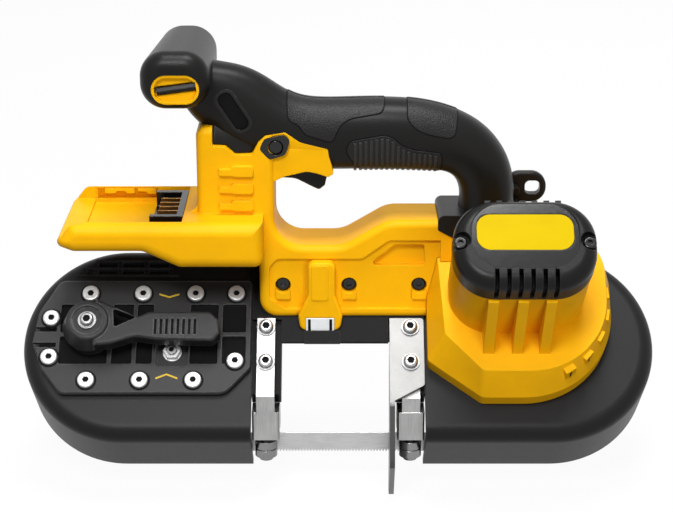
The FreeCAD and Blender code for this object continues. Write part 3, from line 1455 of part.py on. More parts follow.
def screw_spaces():
    """Counterbores and shank holes of the three housing screws."""
    spaces = []
    front = handle_y - float(size.body_half)
    for x, z in HOUSING_SCREWS:
        spaces.append(rod(float(size.bolt_head_radius) + 0.4, FreeCAD.Vector(x, front - 5.0, z),
                          FreeCAD.Vector(x, front + float(size.housing_screw_seat), z)))
        spaces.append(rod(float(size.screw_shank_radius) + 0.1, FreeCAD.Vector(x, front, z),
                          FreeCAD.Vector(x, FAR, z)))
    return spaces


def button_axis():
    """Middle of the lock-off button."""
    return FreeCAD.Vector(-66.0, handle_y, 181.0)


def housings():
    """Yellow halves and black grip halves, parted at the handle plane."""
    motor = motor_form(0.2)
    motor.Placement = wheel_frame
    cap = prism(rectangle(*cap_middle(), float(size.cap_width) + 1.0, float(size.cap_height) + 1.0,
                          float(size.cap_corner)), flat(float(size.motor_top) - 0.5), Z_AXIS * 40.0)
    cap.Placement = wheel_frame
    button = button_axis()
    bore = float(size.button_radius) + 0.2
    button_hole = rod(bore, button - Y_AXIS * 60.0, button + Y_AXIS * 60.0)
    lens_top = lens_corners()[2]
    half_lens = (float(size.lens_width) + float(size.seat_gap)) / 2
    lens_end = float(lens_top[0]) + 3 * float(size.seat_gap) + float(size.board_thickness)
    lens = block((float(size.lens_mid) - half_lens, -FAR, -FAR),
                 (float(size.lens_mid) + half_lens, lens_end, float(lens_top[1]) + float(size.seat_gap) / 2))
    lens.Placement = wheel_frame
    trunnion_bore = trunnion_rod(float(size.running_gap))
    spaces = cavities() + screw_spaces() + [motor, cap, button_hole, lens, trunnion_bore]
    yellow = housing_solid().cut(spaces)
    front, rear = halves(yellow)
    feature("front_housing", front)
    feature("rear_housing", rear)
    zone = prism(COLOUR_LINE, side(-FAR), Y_AXIS * 2 * FAR)
    black = handle_form().common(zone).fuse([knob_form(), handle_base()]).removeSplitter()
    half = float(size.grip_half)
    slot = prism([(-100.5, 209.0, 3.8), (-93.0, 213.5, 3.8), (-80.0, 193.5, 3.8), (-87.5, 189.0, 3.8)],
                 side(handle_y - FAR), Y_AXIS * (FAR - half + 4.0))
    slot_rear = slot.mirror(FreeCAD.Vector(0, handle_y, 0), Y_AXIS)
    pocket = holder_shape(0.0, handle_y - float(size.knob_half) - 1.0, float(size.holder_depth) + 1.0)
    key_bore = rod(float(size.key_flat) / math.sqrt(3) + float(size.key_gap), key_corner(),
                   key_corner() + Y_AXIS * (float(size.key_reach) + 1.0))
    hook_bore = rod(size.hook_pin_radius, hook_axis() - Y_AXIS * 8.0, hook_axis() + Y_AXIS * 20.0)
    black = black.cut(cavities() + [slot, slot_rear, pocket, key_bore, motor, cap, button_hole, hook_bore])
    front, rear = halves(black)
    feature("front_grip", front)
    feature("rear_grip", rear)


def housing_screws():
    """Dark screws that hold the housing to the frame bar."""
    front = handle_y - float(size.body_half) + float(size.housing_screw_seat)
    length = handle_y + 10.0 - front
    screw = socket_screw(float(size.bolt_head_radius), float(size.housing_screw_height),
                         float(size.screw_shank_radius), length, float(size.small_socket),
                         float(size.socket_depth))
    copies = []
    turn = FreeCAD.Rotation(X_AXIS, 90.0)
    for x, z in HOUSING_SCREWS:
        copy = screw.copy()
        copy.Placement = FreeCAD.Placement(FreeCAD.Vector(x, front, z), turn)
        copies.append(copy)
    feature("housing_screws", Part.makeCompound(copies))


def battery_terminals():
    """Terminal frame across the end of the battery bay, open to the left, with its contact blades."""
    low = float(size.bay_floor)
    half = float(size.terminal_half)
    wall = float(size.terminal_wall)
    frame = block((-139.5, handle_y - half, low), (-120.2, handle_y + half, float(size.tray_top) + 0.5))
    pocket = block((-FAR, handle_y - half + wall, low + 2.0), (-120.2 - wall, handle_y + half - wall, FAR))
    back = block((-120.2, handle_y - 16.0, 126.5), (-112.0, handle_y + 16.0, low + 7.0))
    seat = -120.2 - wall + 1.5
    blades = []
    for i in range(TERMINAL_COUNT):
        y = handle_y + (i - (TERMINAL_COUNT - 1) / 2) * float(size.terminal_pitch)
        blades.append(block((-136.0, y - 0.4, low + 3.5), (seat, y + 0.4, low + 8.5)))
    feature("terminal_block", frame.fuse(back).removeSplitter().cut([pocket] + blades))
    feature("terminal_blades", Part.makeCompound(blades))


def electronics():
    """Switch, control module, work light lens and its board."""
    switch_width = size.trigger_width + 4.0
    boxes = (
        ("trigger_switch", size.switch_length, switch_width, size.switch_height,
         at(-61.3, handle_y - float(switch_width) / 2, 177.0)),
        ("control_module", size.module_length, size.module_width, size.module_height,
         at(-105.5, handle_y - float(size.module_width) / 2, 118.0)),
        ("led_board", size.lens_width - 2.0, size.board_thickness, size.lens_height,
         at(float(size.lens_mid) - float(size.lens_width) / 2 + 1.0,
            float(lens_corners()[2][0]) + float(size.seat_gap), float(lens_corners()[0][1]), wheel_frame)),
    )
    for label, length, width, height, place in boxes:
        box = doc.addObject("Part::Box", label)
        bind(box, "Length", length)
        bind(box, "Width", width)
        bind(box, "Height", height)
        keep(box, label, place)
    padded_body("led_lens", "YZ_Plane", lens_corners(), size.lens_width,
                at(float(size.lens_mid) - float(size.lens_width) / 2, 0, 0, wheel_frame))


def trigger_pivot():
    """Axis that the trigger swings about."""
    return FreeCAD.Vector(-62.0, handle_y, 166.0)


def trunnion_rod(grow):
    """Stub axle of the trigger, or its bore when grown by the running gap."""
    reach = Y_AXIS * (float(size.trigger_width) / 2 + float(size.trunnion_length) + 4.0 * grow)
    return rod(float(size.trunnion_radius) + grow, trigger_pivot() - reach, trigger_pivot() + reach)


def trigger_set():
    """Trigger on its trunnions and the cross bolt lock-off button."""
    half = float(size.trigger_width) / 2
    corners = [(-65.5, 166.0, 3.0), (-64.5, 159.0, 2.0), (-55.0, 158.4, 12.0), (-44.6, 153.0, 2.0),
               (-41.2, 151.4, 2.0),
               (-37.8, 154.2, 1.5), (-36.3, 161.0, 4.0), (-37.5, 170.0, 2.0), (-60.0, 171.0, 3.0)]
    trigger = prism(corners, side(handle_y - half), Y_AXIS * 2 * half)
    rims = [e for e in flat_edges(trigger, 1, handle_y - half) + flat_edges(trigger, 1, handle_y + half)
            if e.CenterOfMass.z < 158.0]
    trunnion = trunnion_rod(0.0)
    feature("trigger", trigger.makeChamfer(1.0, rims).fuse(trunnion).removeSplitter())
    button = button_axis()
    reach = float(size.grip_half) + float(size.button_stand)
    bolt = rod(size.button_radius, button - Y_AXIS * reach, button + Y_AXIS * (reach - 4.0))
    ends = flat_edges(bolt, 1, button.y - reach) + flat_edges(bolt, 1, button.y + reach - 4.0)
    bolt = bolt.makeFillet(1.2, ends)
    feature("lock_off_button", bolt)


def holder_shape(shrink, y, depth):
    """Oval insert in the knob's end."""
    corners = rectangle(float(size.knob_x) + 1.0, float(size.knob_z) - 4.0,
                        float(size.holder_width) - 2 * shrink,
                        float(size.holder_height) - 2 * shrink, float(size.holder_height) / 2 - 0.2 - shrink)
    return prism(corners, side(y), Y_AXIS * depth)


def key_corner():
    """Bend of the stored hexagon key."""
    return FreeCAD.Vector(float(size.knob_x) - 7.5, handle_y - float(size.knob_half) + 3.0,
                          float(size.knob_z) - 5.0)


def hex_key_set():
    """Yellow key holder in the knob and the L shaped key stored in it."""
    front = handle_y - float(size.knob_half)
    flat_width = float(size.key_flat)
    gap = float(size.key_gap)
    corner = key_corner()
    holder = holder_shape(0.1, front + 0.6, float(size.holder_depth) - 0.6)
    dish = holder_shape(float(size.holder_rim), front - 1.0, float(size.holder_dish) + 1.6)
    arm_slot = block((corner.x - 3.2, front - 1.0, corner.z - flat_width / 2 - gap - 0.4),
                     (corner.x + float(size.key_arm) + gap, corner.y + flat_width / 2 + gap + 0.4,
                      corner.z + flat_width / 2 + gap + 0.4))
    arm_slot.rotate(corner, Y_AXIS, -float(size.key_tilt))
    bore = rod(flat_width / math.sqrt(3) + gap, corner, corner + Y_AXIS * 30.0)
    feature("key_holder", holder.cut([dish, arm_slot, bore]))
    long_arm = hexagon(flat_width, 0.0, float(size.key_reach))
    long_arm.Placement = FreeCAD.Placement(corner, FreeCAD.Rotation(X_AXIS, -90.0))
    short_arm = hexagon(flat_width, -flat_width / 2, float(size.key_arm) + flat_width / 2)
    turn = FreeCAD.Rotation(Y_AXIS, 90.0 - float(size.key_tilt)).multiply(FreeCAD.Rotation(Z_AXIS, 30.0))
    short_arm.Placement = FreeCAD.Placement(corner, turn)
    feature("hex_key", long_arm.fuse(short_arm).removeSplitter())


def hook_axis():
    """Pivot of the hang hook behind the rear post."""
    return FreeCAD.Vector(76.0, handle_y + float(size.body_half) + 0.8, 145.0)


def hang_hook():
    """Folding hang hook and its pin."""
    pivot = hook_axis()
    width = float(size.hook_width)
    height = float(size.hook_height)
    bar = float(size.hook_bar)
    depth = float(size.hook_depth)
    middle = (pivot.x + width / 2 - 6.0, pivot.z)
    outer = prism(rectangle(*middle, width, height, height / 2 - 0.5), side(pivot.y), Y_AXIS * depth)
    outer = outer.makeFillet(1.8, flat_edges(outer, 1, pivot.y) + flat_edges(outer, 1, pivot.y + depth))
    inner = prism(rectangle(middle[0] + 4.2, middle[1], width - 2 * bar - 6.0, height - 2 * bar - 0.6, 3.0),
                  side(pivot.y - 1.0), Y_AXIS * FAR)
    hole = rod(float(size.hook_pin_radius) + float(size.running_gap), pivot - Y_AXIS, pivot + Y_AXIS * FAR)
    feature("hang_hook", outer.cut([inner, hole]))
    pin = rod(size.hook_pin_radius, pivot - Y_AXIS * 8.0, pivot + Y_AXIS * (depth + 0.4))
    head = rod(float(size.hook_pin_radius) + 2.0, pivot + Y_AXIS * (depth + 0.4),
               pivot + Y_AXIS * (depth + 2.0))
    feature("hook_pin", pin.fuse(head).removeSplitter())


# Guides and work stop

def guide_bolt_places():
    """Bolts of both guides in the wheel frame."""
    offset = float(size.guide_offset)
    rows = [bar_low() + float(row) for row in (size.guide_bolt_high, size.guide_bolt_low)]
    return [(x, u) for x in (-offset, offset) for u in rows]


def guide_body(label, x, plate_thickness):
    """Guide bar: a plate on the frame arm, a bent arm and a block over the blade."""
    seat = float(size.guard_face)
    face = seat + plate_thickness
    neck = float(size.guide_block_top) + float(size.guide_neck)
    low = (neck - wheel_origin.z) / math.sin(tilt) - seat / math.tan(tilt)
    plate = block((x - float(size.guide_plate_width) / 2, low, seat),
                  (x + float(size.guide_plate_width) / 2, bar_low() + float(size.guide_top), face))
    holes = [rod(float(size.bolt_shank_radius) + 0.1, FreeCAD.Vector(bx, u, 0), FreeCAD.Vector(bx, u, FAR))
             for bx, u in guide_bolt_places()]
    plate = plate.cut(holes)
    plate.Placement = wheel_frame
    world_x = x + float(size.wheel_mid)
    front = float(size.blade_plane) - float(size.guide_block_depth) / 2
    back = front + float(size.guide_block_depth)
    half = float(size.guide_block_width) / 2
    outer = wheel_frame.multVec(FreeCAD.Vector(0, low, face))
    inner = wheel_frame.multVec(FreeCAD.Vector(0, low, seat))
    top = float(size.guide_block_top)
    arm = prism([(front, top - 2.0, 0), (front + 9.0, top - 2.0, 0), (inner.y, inner.z, 0),
                 (outer.y, outer.z, 0)],
                across(world_x - float(size.guide_plate_width) / 2), X_AXIS * float(size.guide_plate_width))
    body = block((world_x - half, front, float(size.guide_block_bottom)), (world_x + half, back, top))
    body = body.makeChamfer(1.0, [e for e in body.Edges if e.BoundBox.ZMax - e.BoundBox.ZMin > 10.0])
    slot_half = 3.4
    centre = backup_centre(world_x)
    slot = block((world_x - half - 1.0, centre.y - slot_half, 0),
                 (world_x + half + 1.0, centre.y + slot_half,
                                                                 centre.z + float(size.roller_radius) + 0.8))
    guide = body.cut(slot).fuse([arm, plate]).removeSplitter()
    spaces = [rod(size.pin_radius, FreeCAD.Vector(world_x, y, 0), FreeCAD.Vector(world_x, y, pin_top()))
              for y in roller_lines()]
    spaces.append(rod(size.pin_radius, centre - Y_AXIS * 5.5, centre + Y_AXIS * 5.5))
    feature(label, guide.cut(spaces))


def roller_lines():
    """Axes of the front and rear guide rollers."""
    reach = float(size.blade_thickness) / 2 + float(size.roller_gap) + float(size.roller_radius)
    return float(size.blade_plane) - reach, float(size.blade_plane) + reach


def backup_centre(world_x):
    """Centre of the bearing that backs the blade's upper edge."""
    rise = float(size.blade_width) + float(size.roller_gap) + float(size.roller_radius)
    return FreeCAD.Vector(world_x, float(size.blade_plane), rise)


def pin_top():
    """Upper end of the roller pins inside the guide block."""
    return float(size.guide_block_bottom) + 2.6


def guides():
    """Both guides with their rollers, backing bearings and pins."""
    offset = float(size.guide_offset)
    stop = float(size.stop_thickness)
    thick = float(size.guide_plate_thickness)
    radius = size.roller_radius
    inner = size.pin_radius + size.running_gap
    height = size.roller_height
    roller_low = float(size.blade_width) - float(size.roller_height) - 1.0
    pins = []
    for name, x, plate in (("left", -offset, thick), ("right", offset, thick - stop)):
        guide_body(name + "_guide", x, plate)
        world_x = x + float(size.wheel_mid)
        for row_name, y in zip(("front", "rear"), roller_lines()):
            groove = height / 2
            profile = [(inner, 0), (radius, 0), (radius, groove - 0.4), (radius - 0.8, groove),
                       (radius, groove + 0.4), (radius, height), (inner, height)]
            turned_body("%s_%s_roller" % (name, row_name), profile, at(world_x, y, roller_low))
            centre = FreeCAD.Vector(world_x, y, 0)
            pin = rod(size.pin_radius, centre + Z_AXIS * (roller_low - 2.0), centre + Z_AXIS * pin_top())
            head = rod(4.0, centre + Z_AXIS * (roller_low - 2.4), centre + Z_AXIS * (roller_low - 0.2))
            collar = rod(3.2, centre + Z_AXIS * (roller_low + float(height) + 0.2),
                         centre + Z_AXIS * float(size.guide_block_bottom))
            pins.append(pin.fuse([head, collar]).removeSplitter())
        centre = backup_centre(world_x)
        back = FreeCAD.Placement(centre + Y_AXIS * (float(size.backup_width) / 2),
                                 FreeCAD.Rotation(X_AXIS, 90.0))
        ring(name + "_backup_bearing", inner, radius, size.backup_width, back)
        pins.append(rod(size.pin_radius, centre - Y_AXIS * 5.5, centre + Y_AXIS * 5.5))
    feature("roller_pins", Part.makeCompound(pins))
    level = float(size.guard_face) + thick
    bolt = socket_screw(float(size.bolt_head_radius), float(size.bolt_head_height),
                        float(size.bolt_shank_radius),
                        thick + 9.5, 4.0, 2.0)
    feature("guide_bolts", placed(bolt, guide_bolt_places(), level), wheel_frame)


def work_stop():
    """Bent plate: a bracket under the right guide's bolts and a flange square to the blade."""
    thick = float(size.stop_thickness)
    left = -float(size.wheel_mid)
    low = float(size.guard_face) + float(size.guide_plate_thickness) - thick
    high = low + thick
    edge = bar_low()
    top = edge + float(size.guide_top)
    gap = float(size.seat_gap)
    right = left + float(size.stop_width)
    foot = edge - float(size.stop_drop)
    bracket = prism([(left + gap, top, 0), (right, top, 2.0), (right, foot + 11.4, 2.0), (left, foot, 0),
                     (left, edge - 2 * gap, 0), (left + gap, edge - 2 * gap, 0)], flat(low), Z_AXIS * thick)
    holes = [rod(float(size.bolt_shank_radius) + 0.1, FreeCAD.Vector(x, u, 0), FreeCAD.Vector(x, u, FAR))
             for x, u in guide_bolt_places()]
    bracket = bracket.cut(holes)
    bracket.Placement = wheel_frame

    def on_frame(u, k, radius):
        point = wheel_frame.multVec(FreeCAD.Vector(0, u, k))
        return point.y, point.z, radius

    plane = float(size.blade_plane)
    bottom = -float(size.stop_reach)
    corners = [
        on_frame(edge - 2 * gap, high, 0), on_frame(edge - 2 * gap, low, 0), (plane + 9.0, 46.0, 6.0),
        (plane - 2.8, 15.0, 10.0), (plane - 2.8, bottom, 2.0), (plane - 11.0, bottom, 2.0),
        (plane - 30.0, 4.0, 8.0), on_frame(foot, high, 8.0),
    ]
    flange = prism(corners, across(0.0), X_AXIS * thick)
    feature("work_stop", flange.fuse(bracket).removeSplitter())


saw_blade()
drive_side()
idler_side()
idler_guard()
drive_guard()
main_frame()
tension_plate()
plate_screws()
tension_lever()
lever_cam()
lever_bolt()
tension_carriage()
tension_spring()
tracking_set()
gear_train()
motor_parts()
motor_housing()
motor_cap()
housings()
housing_screws()
battery_terminals()
electronics()
trigger_set()
hex_key_set()
hang_hook()
guides()
work_stop()

doc.recompute()
for item in doc.Objects:
    if "Invalid" in item.State or "Error" in item.State:
        raise RuntimeError("%s did not build: %s" % (item.Label, item.State))
for item in nodes:
    if item.Shape.isNull() or not item.Shape.isValid():
        raise RuntimeError("%s has no valid shape" % item.Label)

os.makedirs("parts", exist_ok=True)
for item in nodes:
    item.Shape.exportStep("parts/%s.step" % item.Label)
    print("%-22s %2d solids %10.1f mm3" % (item.Label, len(item.Shape.Solids), item.Shape.Volume))
print(len(nodes), "nodes")
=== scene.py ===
"""Looks of a battery portable band saw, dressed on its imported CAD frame."""

import json
import logging
import math
from dataclasses import dataclass
from enum import Enum
from typing import ClassVar, Dict, Iterable, List, Optional, Sequence, Tuple, Union

import bmesh
import bpy
from mathutils import Matrix, Vector

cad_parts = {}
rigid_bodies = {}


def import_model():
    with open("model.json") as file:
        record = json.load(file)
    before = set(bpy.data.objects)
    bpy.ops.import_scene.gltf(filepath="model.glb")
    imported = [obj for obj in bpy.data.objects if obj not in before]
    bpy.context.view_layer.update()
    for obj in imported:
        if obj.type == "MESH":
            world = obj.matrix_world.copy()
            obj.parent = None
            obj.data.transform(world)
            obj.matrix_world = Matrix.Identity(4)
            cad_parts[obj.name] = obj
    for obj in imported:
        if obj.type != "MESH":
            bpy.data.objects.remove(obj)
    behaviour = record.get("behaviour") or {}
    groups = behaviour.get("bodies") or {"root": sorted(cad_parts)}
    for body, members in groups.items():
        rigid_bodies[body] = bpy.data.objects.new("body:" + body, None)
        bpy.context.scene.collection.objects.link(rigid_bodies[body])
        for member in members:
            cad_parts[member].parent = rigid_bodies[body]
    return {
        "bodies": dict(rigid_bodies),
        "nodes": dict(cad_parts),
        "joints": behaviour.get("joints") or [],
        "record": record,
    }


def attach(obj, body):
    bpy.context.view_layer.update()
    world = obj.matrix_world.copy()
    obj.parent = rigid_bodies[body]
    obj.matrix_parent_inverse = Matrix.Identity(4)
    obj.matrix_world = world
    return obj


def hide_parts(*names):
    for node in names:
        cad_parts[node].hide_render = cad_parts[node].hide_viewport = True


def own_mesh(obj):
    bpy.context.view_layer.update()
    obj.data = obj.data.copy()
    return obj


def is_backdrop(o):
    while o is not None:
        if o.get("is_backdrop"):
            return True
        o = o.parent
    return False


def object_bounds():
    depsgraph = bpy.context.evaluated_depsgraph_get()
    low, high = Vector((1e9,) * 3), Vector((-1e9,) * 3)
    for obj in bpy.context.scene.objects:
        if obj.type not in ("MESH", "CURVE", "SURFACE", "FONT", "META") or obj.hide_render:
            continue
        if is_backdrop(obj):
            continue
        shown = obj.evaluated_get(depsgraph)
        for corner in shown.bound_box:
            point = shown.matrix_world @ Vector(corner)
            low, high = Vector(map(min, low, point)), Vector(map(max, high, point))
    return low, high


log = logging.getLogger("band_saw")

BMesh = bmesh.types.BMesh
Socket = bpy.types.NodeSocket
Point2 = Tuple[float, float]
Point3 = Tuple[float, float, float]
Outline = Sequence[Point2]
Points = Tuple[Point2, ...]
Colour = Tuple[float, float, float]

# Shapes are in millimetres. Finishes, lamps and values named so are in metres.
MM = 0.001
HANDLE_Y = 50.0
MERGE_GAP = 0.002
HAIR = 0.1
SHARP_DEGREES = 32.0
RING_CORNERS = 40
HEXAGON = 6
WHITE = (1.0, 1.0, 1.0)


class Body(Enum):
    """Moving bodies that pieces ride on."""

    FRAME = "saw_frame"
    LEVER = "tension_lever"
    TRACKING = "tracking_screw"


class Grain(Enum):
    """Kinds of moulded surface, each with its lumps per metre."""

    SMOOTH = 300.0
    FINE = 2300.0
    LEATHER = 2600.0


class Brush(Enum):
    """Direction that a metal was brushed in, as a stretch per axis."""

    ALONG_X = (0.04, 1.0, 1.0)
    ALONG_Z = (1.0, 1.0, 0.04)
    TURNED = (1.0, 1.0, 1.0)


@dataclass(frozen=True)
class WheelFrame:
    """The leaning plane of the two band wheels."""

    origin: Point3 = (-30.0, 45.123, 43.123)
    lean: float = 45.0

    def matrix(self) -> Matrix:
        """Matrix from wheel coordinates to the saw's frame."""
        return Matrix.Translation(self.origin) @ Matrix.Rotation(math.radians(self.lean), 4, "X")


WHEELS = WheelFrame()


def as_object(made: BMesh, name: str) -> bpy.types.Object:
    """Put a bmesh on a new object as it is, and free it."""
    mesh = bpy.data.meshes.new(name)
    made.to_mesh(mesh)
    made.free()
    item = bpy.data.objects.new(name, mesh)
    bpy.context.scene.collection.objects.link(item)
    return item


def aimed(data: Union[bpy.types.Light, bpy.types.Camera], place: Vector, aim: Vector) -> bpy.types.Object:
    """Put a lamp or a camera on a new object at a place in metres, looking along an aim."""
    item = bpy.data.objects.new(data.name, data)
    item.location = place
    item.rotation_euler = aim.to_track_quat("-Z", "Y").to_euler()
    bpy.context.scene.collection.objects.link(item)
    return item


def linear(colour: Colour) -> Tuple[float, float, float, float]:
    """Turn a display colour into the shader's linear colour.

    Args:
        colour: Red, green and blue from 0 to 1 as a screen shows them.

    Returns:
        The linear colour with full opacity.
    """
    parts = [c / 12.92 if c <= 0.04045 else ((c + 0.055) / 1.055) ** 2.4 for c in colour]
    return (parts[0], parts[1], parts[2], 1.0)


def shaded(colour: Colour, share: float) -> Colour:
    """A colour made darker or lighter by a share."""
    red, green, blue = (min(1.0, c * share) for c in colour)
    return (red, green, blue)


class Nodes:
    """A node tree, built node by node."""

    def __init__(self, tree: bpy.types.NodeTree) -> None:
        """Empty the tree."""
        self.tree = tree
        self.tree.nodes.clear()

    def feed(self, socket: Socket, value: object) -> None:
        """Set an input to a value, or link another socket to it."""
        if isinstance(value, Socket):
            self.tree.links.new(value, socket)
        else:
            socket.default_value = value

    def node(self, kind: str, **inputs: object) -> bpy.types.Node:
        """Add a node and set or link its inputs by name.

        Args:
            kind: The node's type, without its ShaderNode prefix.
            inputs: Input names with underscores, each a socket or a value.

        Returns:
            The new node.
        """
        made = self.tree.nodes.new("ShaderNode" + kind)
        for name, value in inputs.items():
            self.feed(made.inputs[name.replace("_", " ")], value)
        return made

    def math(self, operation: str, *operands: Union[Socket, float], kind: str = "Math") -> Socket:
        """Add a math node.

        Args:
            operation: Blender's name of the operation.
            operands: Its operands in order, each a socket or a number.
            kind: Math, or VectorMath for vectors.

        Returns:
            The result's socket, a number.
        """
        made = self.node(kind)
        made.operation = operation
        for socket, value in zip(made.inputs, operands):
            self.feed(socket, value)
        return made.outputs["Value"]

    def seen(self) -> Socket:
        """Mask that is 1 on rays from the camera, off glossy surfaces and through clear ones."""
        rays = self.node("LightPath").outputs
        either = self.math("MAXIMUM", rays["Is Camera Ray"], rays["Is Glossy Ray"])
        return self.math("MAXIMUM", either, rays["Is Transmission Ray"])

    def mixed(self, *inputs: Socket) -> Socket:
        """Mix of two surfaces: the factor, the surface at 0 and the surface at 1."""
        made = self.node("MixShader")
        for socket, value in zip(made.inputs, inputs):
            self.feed(socket, value)
        return made.outputs[0]


class Shader(Nodes):
    """A material's node tree round a Principled surface."""

    FRONT_COSINE: ClassVar[float] = -0.93
    EDGE_GAIN: ClassVar[float] = 6.0
    EDGE_SAMPLES: ClassVar[int] = 4

    def __init__(self, name: str) -> None:
        """Start a new material."""
        self.material = bpy.data.materials.new(name)
        self.material.use_nodes = True
        super().__init__(self.material.node_tree)
        self.out = self.node("OutputMaterial").inputs["Surface"]
        self.surface = self.node("BsdfPrincipled")
        self.feed(self.out, self.surface.outputs["BSDF"])
        self.coords = self.node("TexCoord").outputs["Object"]

    def drive(self, name: str, value: Union[Socket, float]) -> None:
        """Set or link an input of the surface."""
        self.feed(self.surface.inputs[name], value)

    def stretched(self, scale: Point3) -> Socket:
        """Object coordinates scaled per axis."""
        return self.node("Mapping", Vector=self.coords, Scale=scale).outputs["Vector"]

    def noise(self, scale: float, detail: float, vector: Optional[Socket] = None) -> Socket:
        """Noise from 0 to 1 on the object's own coordinates.

        Args:
            scale: Lumps per metre.
            detail: Octaves.
            vector: Other coordinates to read.

        Returns:
            The noise's value.
        """
        made = self.node("TexNoise", Vector=vector or self.coords, Scale=scale, Detail=detail)
        return made.outputs["Fac"]

    def blend(self, factor: Socket, ground: Union[Socket, Colour], colour: Colour) -> Socket:
        """Colour that turns from a ground into a display colour.

        Args:
            factor: 0 for the ground and 1 for the colour.
            ground: The colour to start from, a socket or a display colour.
            colour: The display colour.

        Returns:
            The colour's socket.
        """
        made = self.node("Mix")
        made.data_type = "RGBA"
        self.feed(made.inputs["Factor"], factor)
        self.feed(made.inputs["A"], ground if isinstance(ground, Socket) else linear(ground))
        self.feed(made.inputs["B"], linear(colour))
        return next(s for s in made.outputs if s.type == "RGBA")

    def facing_front(self) -> Socket:
        """Mask that is 1 on faces square to the object's -Y."""
        parts = self.node("SeparateXYZ", Vector=self.node("TexCoord").outputs["Normal"])
        return self.math("LESS_THAN", parts.outputs["Y"], self.FRONT_COSINE)

    def span(self, value: Socket, middle: float, spread: Point2) -> Socket:
        """Map a value from 0..1 to a range round a middle."""
        made = self.node("MapRange", Value=value, To_Min=middle + spread[0], To_Max=middle + spread[1])
        return made.outputs["Result"]

    def edge_mask(self, radius: float) -> Tuple[Socket, Socket]:
        """Find edges from the rounded normal, for wear and painted edge highlights.

        Args:
            radius: How far from an edge the wear and painted highlight reach, in metres.

        Returns:
            The mask, 1 on an edge, and the rounded normal.
        """
        rounded = self.node("Bevel", Radius=radius)
        rounded.samples = self.EDGE_SAMPLES
        normal = rounded.outputs["Normal"]
        dot = self.math("DOT_PRODUCT", normal, self.node("NewGeometry").outputs["Normal"], kind="VectorMath")
        turned = self.math("SUBTRACT", 1.0, dot)
        mask = self.math("MULTIPLY", turned, self.EDGE_GAIN)
        return self.math("MINIMUM", mask, 1.0), normal

    def bump(self, height: Socket, depth: float, normal: Optional[Socket] = None) -> None:
        """Drive the surface normal by a height.

        Args:
            height: Height from 0 to 1.
            depth: Depth of the relief in metres.
            normal: Normal to start from.
        """
        made = self.node("Bump", Height=height, Distance=depth, Strength=1.0)
        if normal is not None:
            self.feed(made.inputs["Normal"], normal)
        self.drive("Normal", made.outputs["Normal"])


@dataclass(frozen=True)
class Moulding:
    """Moulded plastic or rubber with grain, faint mottling and lighter edges, partly wear and partly painted edge
    highlight.
    """

    name: str
    colour: Colour
    worn_and_highlight: Colour
    roughness: float = 0.45
    grain: Grain = Grain.FINE
    depth: float = 0.00006
    edge: float = 0.0007
    specular: float = 0.5

    MOTTLE: ClassVar[Point2] = (0.94, 1.03)
    CLOUDS: ClassVar[float] = 55.0
    WEAR_AND_HIGHLIGHT_LUMPS: ClassVar[float] = 420.0
    PATCHES: ClassVar[float] = 900.0
    CELLS: ClassVar[float] = 1150.0
    ROUGH_SPREAD: ClassVar[Point2] = (-0.06, 0.07)

    def make(self) -> bpy.types.Material:
        """Build the finish's material."""
        shader = Shader(self.name)
        mask, rounded = shader.edge_mask(self.edge)
        dark, light = (shaded(self.colour, share) for share in self.MOTTLE)
        ground = shader.blend(shader.noise(self.CLOUDS, detail=4.0), dark, light)
        # Edges take the lighter colour: partly wear, partly a painted highlight on the edges.
        wear_and_highlight = shader.math("MULTIPLY", mask, shader.noise(self.WEAR_AND_HIGHLIGHT_LUMPS, detail=2.0))
        shader.drive("Base Color", shader.blend(wear_and_highlight, ground, self.worn_and_highlight))
        patches = shader.noise(self.PATCHES, detail=3.0)
        shader.drive("Roughness", shader.span(patches, self.roughness, self.ROUGH_SPREAD))
        shader.drive("Specular IOR Level", self.specular)
        height = shader.noise(self.grain.value, detail=2.0)
        if self.grain is Grain.LEATHER:
            cells = shader.node("TexVoronoi", Vector=shader.coords, Scale=self.CELLS)
            height = shader.math("ADD", cells.outputs["Distance"], height)
        shader.bump(height, self.depth, rounded)
        return shader.material


@dataclass(frozen=True)
class BrushedMetal:
    """Bare metal with fine brushed lines, small stains and bright edges."""

    name: str
    colour: Colour
    bright: Colour
    roughness: float = 0.32
    brush: Brush = Brush.ALONG_Z
    lines: float = 2600.0
    depth: float = 0.00002
    edge: float = 0.0004
    metallic: float = 1.0
    # Darker colour on faces towards -Y, a painted shade; None leaves them unchanged.
    front_face_painted_shade: Optional[Colour] = None

    DULL: ClassVar[float] = 0.78
    STAINS: ClassVar[float] = 70.0
    STREAK_SHARE: ClassVar[float] = 0.6
    STAIN_SHARE: ClassVar[float] = 0.4
    ROUGH_SPREAD: ClassVar[Point2] = (-0.09, 0.14)

    def make(self) -> bpy.types.Material:
        """Build the finish's material."""
        shader = Shader(self.name)
        mask, rounded = shader.edge_mask(self.edge)
        streaks = shader.noise(self.lines, detail=2.0, vector=shader.stretched(self.brush.value))
        stain = shader.math("MULTIPLY", shader.noise(self.STAINS, detail=4.0), self.STAIN_SHARE)
        tone = shader.math("MULTIPLY_ADD", streaks, self.STREAK_SHARE, stain)
        lit = shader.math("MAXIMUM", tone, mask)
        base = shader.blend(lit, shaded(self.colour, self.DULL), self.bright)
        # Faces square to -Y turn to a darker colour: painted shade, as on the work stop's flange seen edge-on.
        if self.front_face_painted_shade is not None:
            base = shader.blend(shader.facing_front(), base, self.front_face_painted_shade)
        shader.drive("Base Color", base)
        shader.drive("Metallic", self.metallic)
        shader.drive("Roughness", shader.span(streaks, self.roughness, self.ROUGH_SPREAD))
        shader.bump(streaks, self.depth, rounded)
        return shader.material


